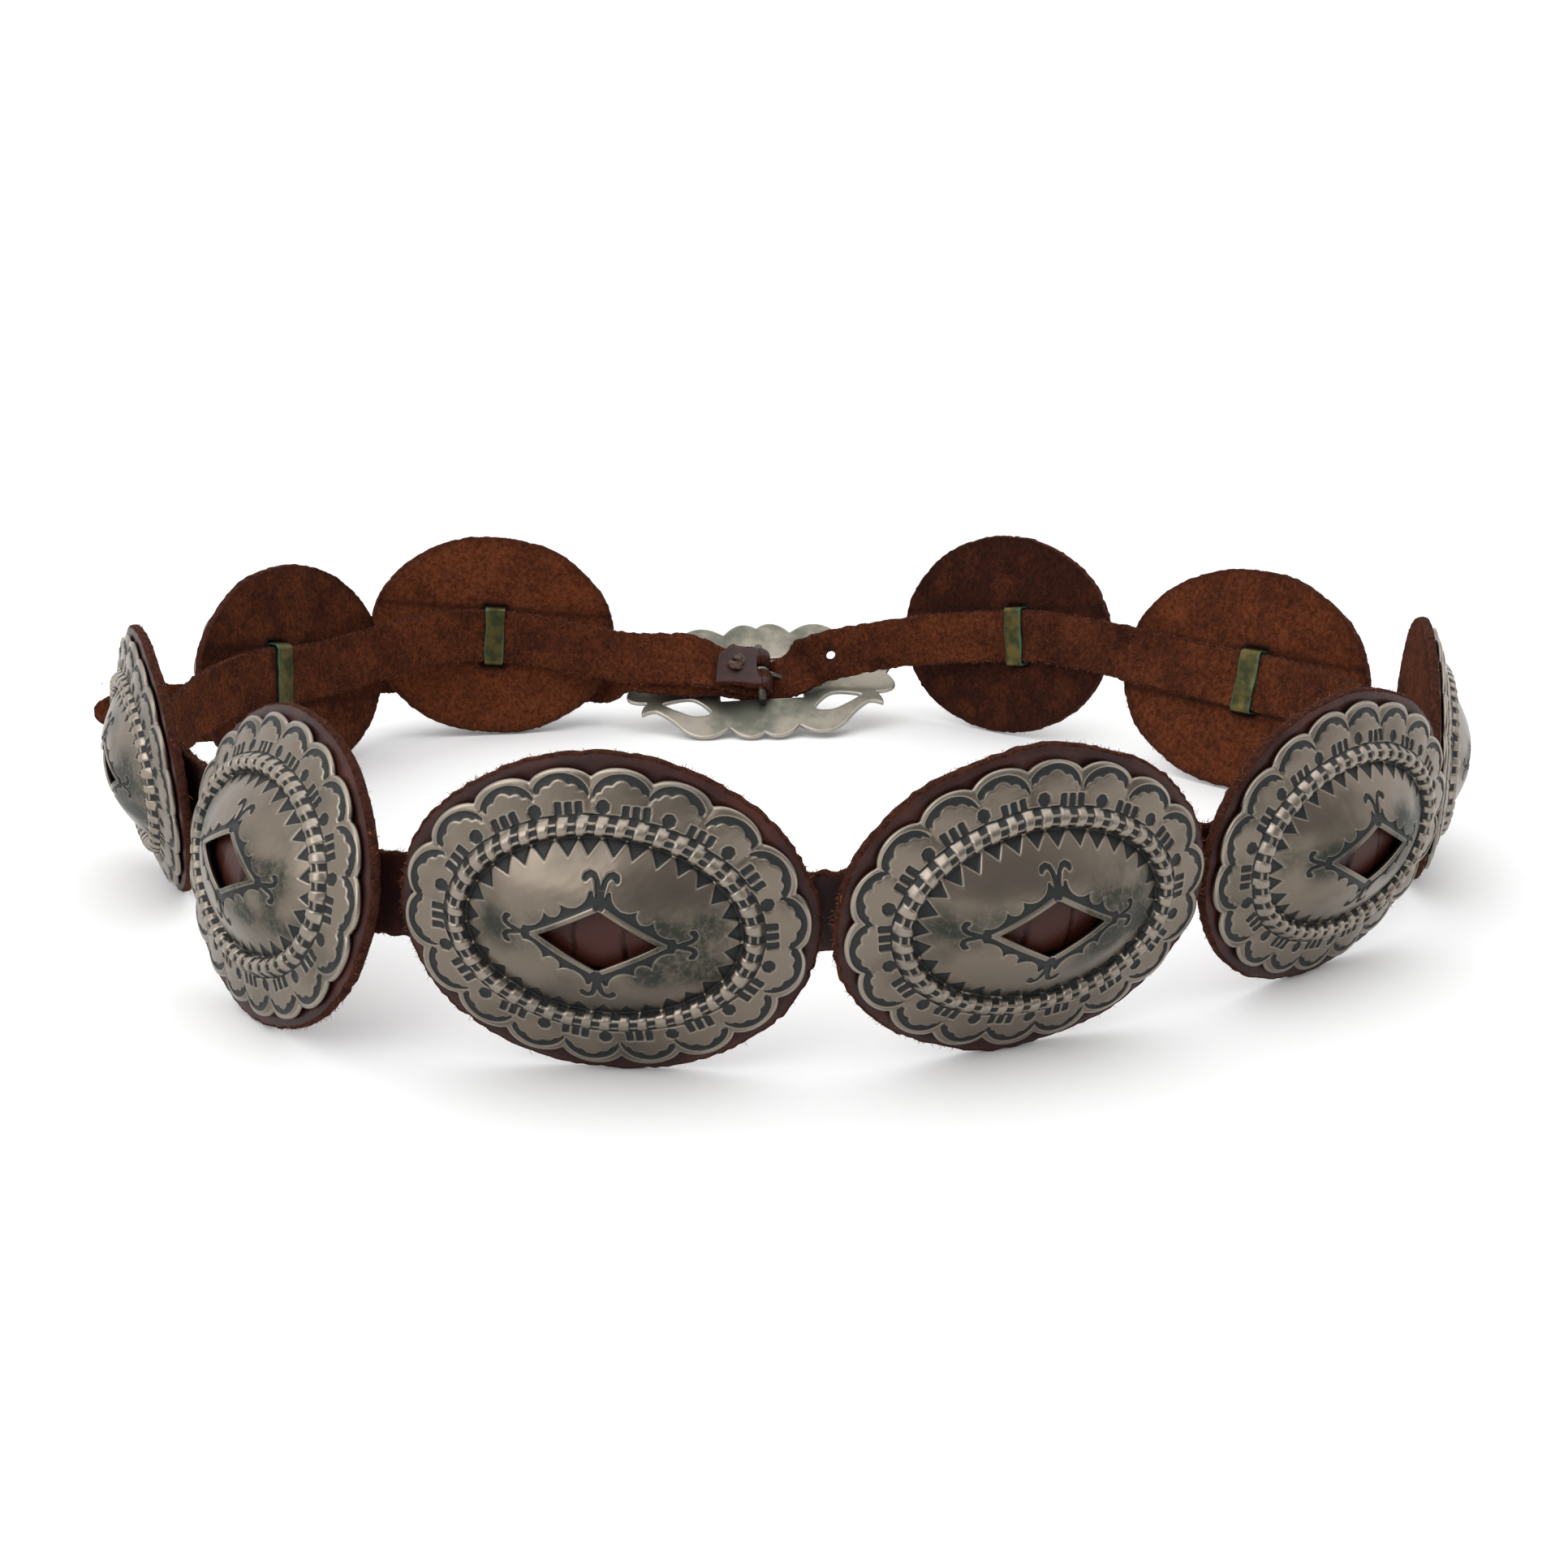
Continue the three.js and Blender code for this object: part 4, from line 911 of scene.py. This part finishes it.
# The buckle plate, cut from thick silver sheet: two lobes above and below, two at each end and long curled
# arms between, with four leaves pierced through. Its plain back faces the ring, dull and cloudy with wear.
# The quarter's rows are curves: end x and y, then the bend's x and y, in shares of half the size.
quarter_start = (0.0, 0.938)
quarter = np.array([
    (0.253, 0.833, 0.124, 1.130), (0.600, 0.816, 0.440, 1.120), (0.781, 0.493, 0.686, 0.600),
    (0.886, 0.549, 0.829, 0.480), (0.848, 0.337, 0.900, 0.430), (0.943, 0.0, 1.080, 0.330)])
leaf = np.array([
    (0.714, 0.358), (0.514, 0.316), (0.387, 0.549), (0.500, 0.592), (0.619, 0.493), (0.700, 0.400)])
plate_bevel, plate_voxel, outline_teeth = 0.45, 0.37, 66


def plate_outline():
    """The quarter outline's curves as points, mirrored round to a whole ring."""
    points, (x0, y0) = [], quarter_start
    for x1, y1, bx, by in quarter:
        t = np.arange(40)[:, None] / 40
        bend = 2 * t * (1 - t) * np.array([bx, by])
        points.append((1 - t) ** 2 * np.array([x0, y0]) + bend + t * t * np.array([x1, y1]))
        x0, y0 = x1, y1
    points = np.concatenate(points + [[[x0, y0]]])
    back = points[-2:0:-1]
    return np.concatenate([points, back * [1, -1], points[:1] * [1, -1],
                           points[1:] * [-1, -1], back * [-1, 1]])


def leaf_outline(sx, sy):
    """A smooth closed curve through the leaf's points, mirrored to its quarter."""
    t = np.linspace(0, 1, 8, endpoint=False)[None, :, None]
    a, b, c, d = [np.roll(leaf, k, axis=0)[:, None] for k in (1, 0, -1, -2)]
    curve = 2 * b + (c - a) * t + (2 * a - 5 * b + 4 * c - d) * t ** 2 + (3 * b - a - 3 * c + d) * t ** 3
    return curve.reshape(-1, 2) * 0.5 * [sx, sy]


def distance_to(points, ring):
    """Distance of every point from a closed line."""
    best = np.full(len(points), 1e9)
    for p, q in zip(ring, np.roll(ring, -1, axis=0)):
        t = np.clip((points - p) @ (q - p) / ((q - p) @ (q - p)), 0, 1)[:, None]
        best = np.minimum(best, np.hypot(*(points - p - t * (q - p)).T))
    return best


def buckle_plate(name):
    """The outline, the opening and the leaves filled to a plate with round edges, made again as an even mesh
    that takes the punch marks: a line round the opening and a row of teeth along the outline."""
    half = np.array([buckle_length / 2, buckle_height / 2])
    outline = plate_outline() * half
    opening = np.array([(1, 1), (1, -1), (-1, -1), (-1, 1)]) * [opening_length / 2, opening_half]
    leaves = [leaf_outline(sx, sy) * half for sx in (-1, 1) for sy in (-1, 1)]
    drawing = bpy.data.curves.new(name, "CURVE")
    drawing.dimensions, drawing.fill_mode = "2D", "BOTH"
    drawing.extrude = (buckle_thick / 2 - plate_bevel) * 0.001
    drawing.bevel_depth, drawing.bevel_resolution = plate_bevel * 0.001, 3
    drawing.offset = -plate_bevel * 0.001
    for ring in [outline, opening] + leaves:
        spline = drawing.splines.new("POLY")
        spline.points.add(len(ring) - 1)
        corners = np.zeros((len(ring), 4))
        corners[:, :2], corners[:, 3] = ring * 0.001, 1.0
        spline.points.foreach_set("co", corners.ravel())
        spline.use_cyclic_u = True
    plate = add_object(name, drawing)
    filled = worked_mesh(plate)
    bpy.data.objects.remove(plate)
    piece = add_object(name, filled)
    step = piece.modifiers.new("even", "REMESH")
    step.mode, step.voxel_size, step.use_smooth_shade = "VOXEL", plate_voxel * 0.001, True
    even = worked_mesh(piece)
    piece.modifiers.clear()
    piece.data = even
    bpy.data.meshes.remove(filled)
    points = np.empty(len(even.vertices) * 3, np.float32)
    even.vertices.foreach_get("co", points)
    points = points.reshape(-1, 3).astype(float) * 1000
    flat = points[:, :2]
    rim, hole = distance_to(flat, outline[::3]), distance_to(flat, opening)
    cut = np.minimum.reduce([distance_to(flat, ring[::2]) for ring in leaves])
    turn = np.arctan2(flat[:, 1] / half[1], flat[:, 0] / half[0]) / math.tau * outline_teeth
    wave = np.abs(turn % 1 - 0.5) * 3.2
    teeth = np.maximum((rim - 2.0) * 0.6 + wave * 0.8 - 1.3, 2.0 - rim)
    teeth = np.where(np.minimum(hole, cut) > 1.2, teeth, 9)
    punched = np.where(points[:, 2] > 0, np.minimum(teeth, np.abs(hole - 1.7) - 0.3), 1.5)
    front = ease(points[:, 2], 0.3, 0.9)
    edge = np.minimum(np.minimum(rim, hole), cut)
    points[:, 2] += front * (0.5 * ease(edge, 0.5, 5) - 0.35 - 0.3 * ease(0.1 - punched, 0, 0.4))
    points[:, 2] += (1 - front) * 0.05 * wander(flat[:, 0], flat[:, 1], 12, 16)
    even.vertices.foreach_set("co", (put(buckle_place, points) * 0.001).astype(np.float32).ravel())
    marks = {"punched": punched, "reflection_band": np.full(len(punched), 0.25), "worn": ease(edge, 0.9, 0.15)}
    for mark, values in marks.items():
        even.attributes.new(mark, "FLOAT", "POINT").data.foreach_set("value", values.astype(np.float32))
    even.polygons.foreach_set("use_smooth", np.ones(len(even.polygons), bool))
    even.update()
    return piece


plain_colours, speck_colour = ((0.235, 0.215, 0.175, 1), (0.105, 0.108, 0.088, 1)), (0.13, 0.125, 0.10, 1)
old_silver, look = new_finish("cloudy_silver")
stain, speck = look.noise(38, 5, 0.62), look.noise(500, 5, 0.7)
body = look.blend(look.ramp(stain, 0.38, 0.62), *plain_colours)
body = look.blend(look.ramp(speck, 0.5, 0.8, 0.0, 0.5), body, speck_colour)
body = look.blend(look.times(look.kept("worn"), 0.8), body, (0.50, 0.46, 0.41, 1))
look.give("Base Color", look.blend(look.ramp(look.kept("punched"), 0.07, -0.09), body, oxide_colour))
look.give("Metallic", 1.0)
look.give("Roughness", look.ramp(stain, 0.35, 0.65, 0.34, 0.5))
look.give("Normal", look.relief(look.plus(stain, look.times(speck, 0.15)), 0.0006, 0.5))

plate = buckle_plate("buckle_plate")
plate.data.materials.append(old_silver)
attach(plate, "root")
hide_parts("buckle")
bar_reach = strap_width / 2 + 0.8 + 2.0
for name, *ends in (("buckle_bar", (0, -bar_reach - 1.5, -bar_drop), (0, bar_reach + 1.5, -bar_drop)),
                    ("bar_post_low", (0, -bar_reach, -bar_drop), (0, -bar_reach, 0)),
                    ("bar_post_high", (0, bar_reach, -bar_drop), (0, bar_reach, 0))):
    start, end = [put(buckle_place, np.array(point, float)) for point in ends]
    piece = rod(name, start, end, bar_radius, 32)
    piece.data.materials.append(old_silver)
    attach(piece, "root")

# The tongue, a grey wire bent to an eye round the bar, and the waxed thong that ties the folded end shut.
wire_colour, rust_colour = (0.22, 0.215, 0.20, 1), (0.09, 0.08, 0.07, 1)
steel, look = new_finish("grey_wire")
rust = look.noise(600, 5, 0.7)
look.give("Base Color", look.blend(look.ramp(rust, 0.4, 0.7), wire_colour, rust_colour))
look.give("Metallic", 0.9)
look.give("Roughness", look.ramp(rust, 0.3, 0.7, 0.35, 0.6))
look.give("Normal", look.relief(rust, 0.0001, 0.5))


def wire(name, path, radius, closed=False, sides=16):
    """A round wire carried along a path, its frame set square to the path against one fixed way."""
    path = np.asarray(path, float)
    count = len(path)
    way = np.roll(path, -1, axis=0) - np.roll(path, 1, axis=0) if closed else np.gradient(path, axis=0)
    way = unit(way)
    first = unit(np.cross(way, [0.0, 1.0, 0.001]))
    second = np.cross(way, first)
    turn = math.tau * np.arange(sides) / sides
    radius = np.broadcast_to(radius, count)[:, None, None]
    aside = np.cos(turn)[None, :, None] * first[:, None] + np.sin(turn)[None, :, None] * second[:, None]
    points = put(buckle_place, (path[:, None] + radius * aside).reshape(-1, 3))
    if closed:
        return lay_faces(name, points, count, sides, False)
    ends = put(buckle_place, path[[0, -1]])
    return lay_faces(name, np.concatenate([points, ends]), count, sides)


tongue_radius = 0.9
eye_radius = bar_radius + gap + tongue_radius
turn = np.linspace(0, math.tau, 40, endpoint=False)
eye_path = np.stack([eye_radius * np.cos(turn), turn * 0, eye_radius * np.sin(turn) - bar_drop], -1)
eye = wire("tongue_eye", eye_path, tongue_radius, True)
start = np.array([-eye_radius, 0, -bar_drop])
knee = np.array([-opening_length / 2 + tongue_radius, 0, buckle_thick / 2 + gap + 1.3 * tongue_radius])
tip = np.array([-opening_length / 2 - 3.0, 0, knee[2]])
t = np.linspace(0, 1, 30)[:, None]
prong_path = np.where(t < 0.8, start + (knee - start) * t / 0.8, knee + (tip - knee) * (t - 0.8) / 0.2)
prong = wire("tongue_prong", prong_path, tongue_radius * np.interp(t[:, 0], [0, 0.85, 1], [1, 1, 0.6]))
for piece in (eye, prong):
    piece.data.materials.append(steel)
    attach(piece, "root")
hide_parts("tongue")

lace_at = int(np.argmin(np.abs(travel - (flap_length - lace_before))))
knot_up, knot_out = up[lace_at], out[lace_at]
knot_place = (np.stack([np.cross(knot_up, knot_out), knot_up, knot_out], axis=1),
              spine[lace_at] + knot_out * (strap_thick / 2 + 0.2))
wax_dark, wax_light = (0.035, 0.016, 0.011, 1), (0.095, 0.050, 0.034, 1)
waxed, look = new_finish("waxed_thong")
grime = look.noise(500, 5)
look.give("Base Color", look.blend(look.ramp(grime, 0.4, 0.65), wax_dark, wax_light))
look.give("Roughness", look.ramp(grime, 0.3, 0.7, 0.5, 0.8))
look.give("Normal", look.relief(grime, 0.0003, 0.8))


def lump(name, at, size, seed):
    """A pulled-tight lump of thong: a ball with rolling folds."""
    rows, sides = 24, 36
    polar = np.linspace(0.12, math.pi - 0.12, rows)[:, None]
    around = (math.tau * np.arange(sides) / sides)[None, :]
    swell = 1 + 0.13 * np.sin(3 * around + 2.4 * polar + seed)
    swell = swell + 0.08 * np.sin(5 * polar - 2 * around + 2 * seed)
    ball = np.dstack([np.sin(polar) * np.cos(around) * swell, np.sin(polar) * np.sin(around) * swell,
                      np.cos(polar) * swell]) * size
    ends = np.array([[0, 0, size[2]], [0, 0, -size[2]]])
    place = knot_place[0], put(knot_place, np.array(at))
    return lay_faces(name, put(place, np.concatenate([ball.reshape(-1, 3), ends])), rows, sides)


knot = lump("lace_knot", [0.4, 1.4, 0.9], [2.4, 2.2, 1.5], 1.0)
tail_end = lump("lace_end", [-1.4, -2.2, 0.8], [2.9, 1.7, 1.3], 2.6)
for piece in (knot, tail_end):
    piece.data.materials.append(waxed)
    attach(piece, "root")
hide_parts("strap_lace")

# The pale floor, the soft lamps and the camera, which looks down on the belt from in front of it.
floor_mesh = bpy.data.meshes.new("floor")
floor_mesh.from_pydata([(-6, -6, 0), (6, -6, 0), (6, 6, 0), (-6, 6, 0)], [], [(0, 1, 2, 3)])
floor = add_object("floor", floor_mesh)
paper, look = new_finish("pale_paper")
look.give("Base Color", look.blend(look.noise(300, 2), (0.86, 0.86, 0.86, 1), (0.88, 0.88, 0.88, 1)))
look.give("Roughness", 0.95)
look.give("Specular IOR Level", 0.0)
floor.data.materials.append(paper)

world = bpy.data.worlds.new("studio")
bpy.context.scene.world = world
world.use_nodes = True
look = Look(world.node_tree, "Background")
towards = look.nodes.new("ShaderNodeVectorMath")
towards.operation = "DOT_PRODUCT"
towards.inputs[1].default_value = (0.42, -0.90, 0.05)
look.feed(towards.inputs[0], look.nodes.new("ShaderNodeTexCoord").outputs["Generated"])
look.give("Strength", look.ramp(towards.outputs["Value"], 0.35, 0.92, 1.3, 0.42))
look.give("Color", (1.0, 1.0, 1.0, 1))


def soft_lamp(name, place, aim, size, power):
    """A broad lamp at a place in metres, turned towards its aim."""
    lamp = bpy.data.lights.new(name, "AREA")
    lamp.shape, lamp.size, lamp.size_y, lamp.energy = "RECTANGLE", size[0], size[1], power
    holder = add_object(name, lamp)
    holder.location = place
    holder.rotation_euler = (Vector(aim) - Vector(place)).to_track_quat("-Z", "Y").to_euler()


soft_lamp("top_lamp", (0.0, -0.1, 1.5), (0, 0, 0), (2.0, 1.6), 7)
soft_lamp("front_lamp", (-1.0, -1.4, 1.2), (0, -0.1, 0.03), (1.6, 1.2), 11)

bpy.context.scene.view_settings.view_transform = "Standard"
camera = bpy.data.cameras.new("camera")
camera.sensor_width, camera.lens = 36.0, 37.79
eye_point = add_object("camera", camera)
eye_point.location = (shift + np.array([0.0, -475.24, 170.8])) * 0.001
eye_point.rotation_euler = (math.radians(90 - 17.4), 0, 0)
camera.clip_end = 50
bpy.context.scene.camera = eye_point
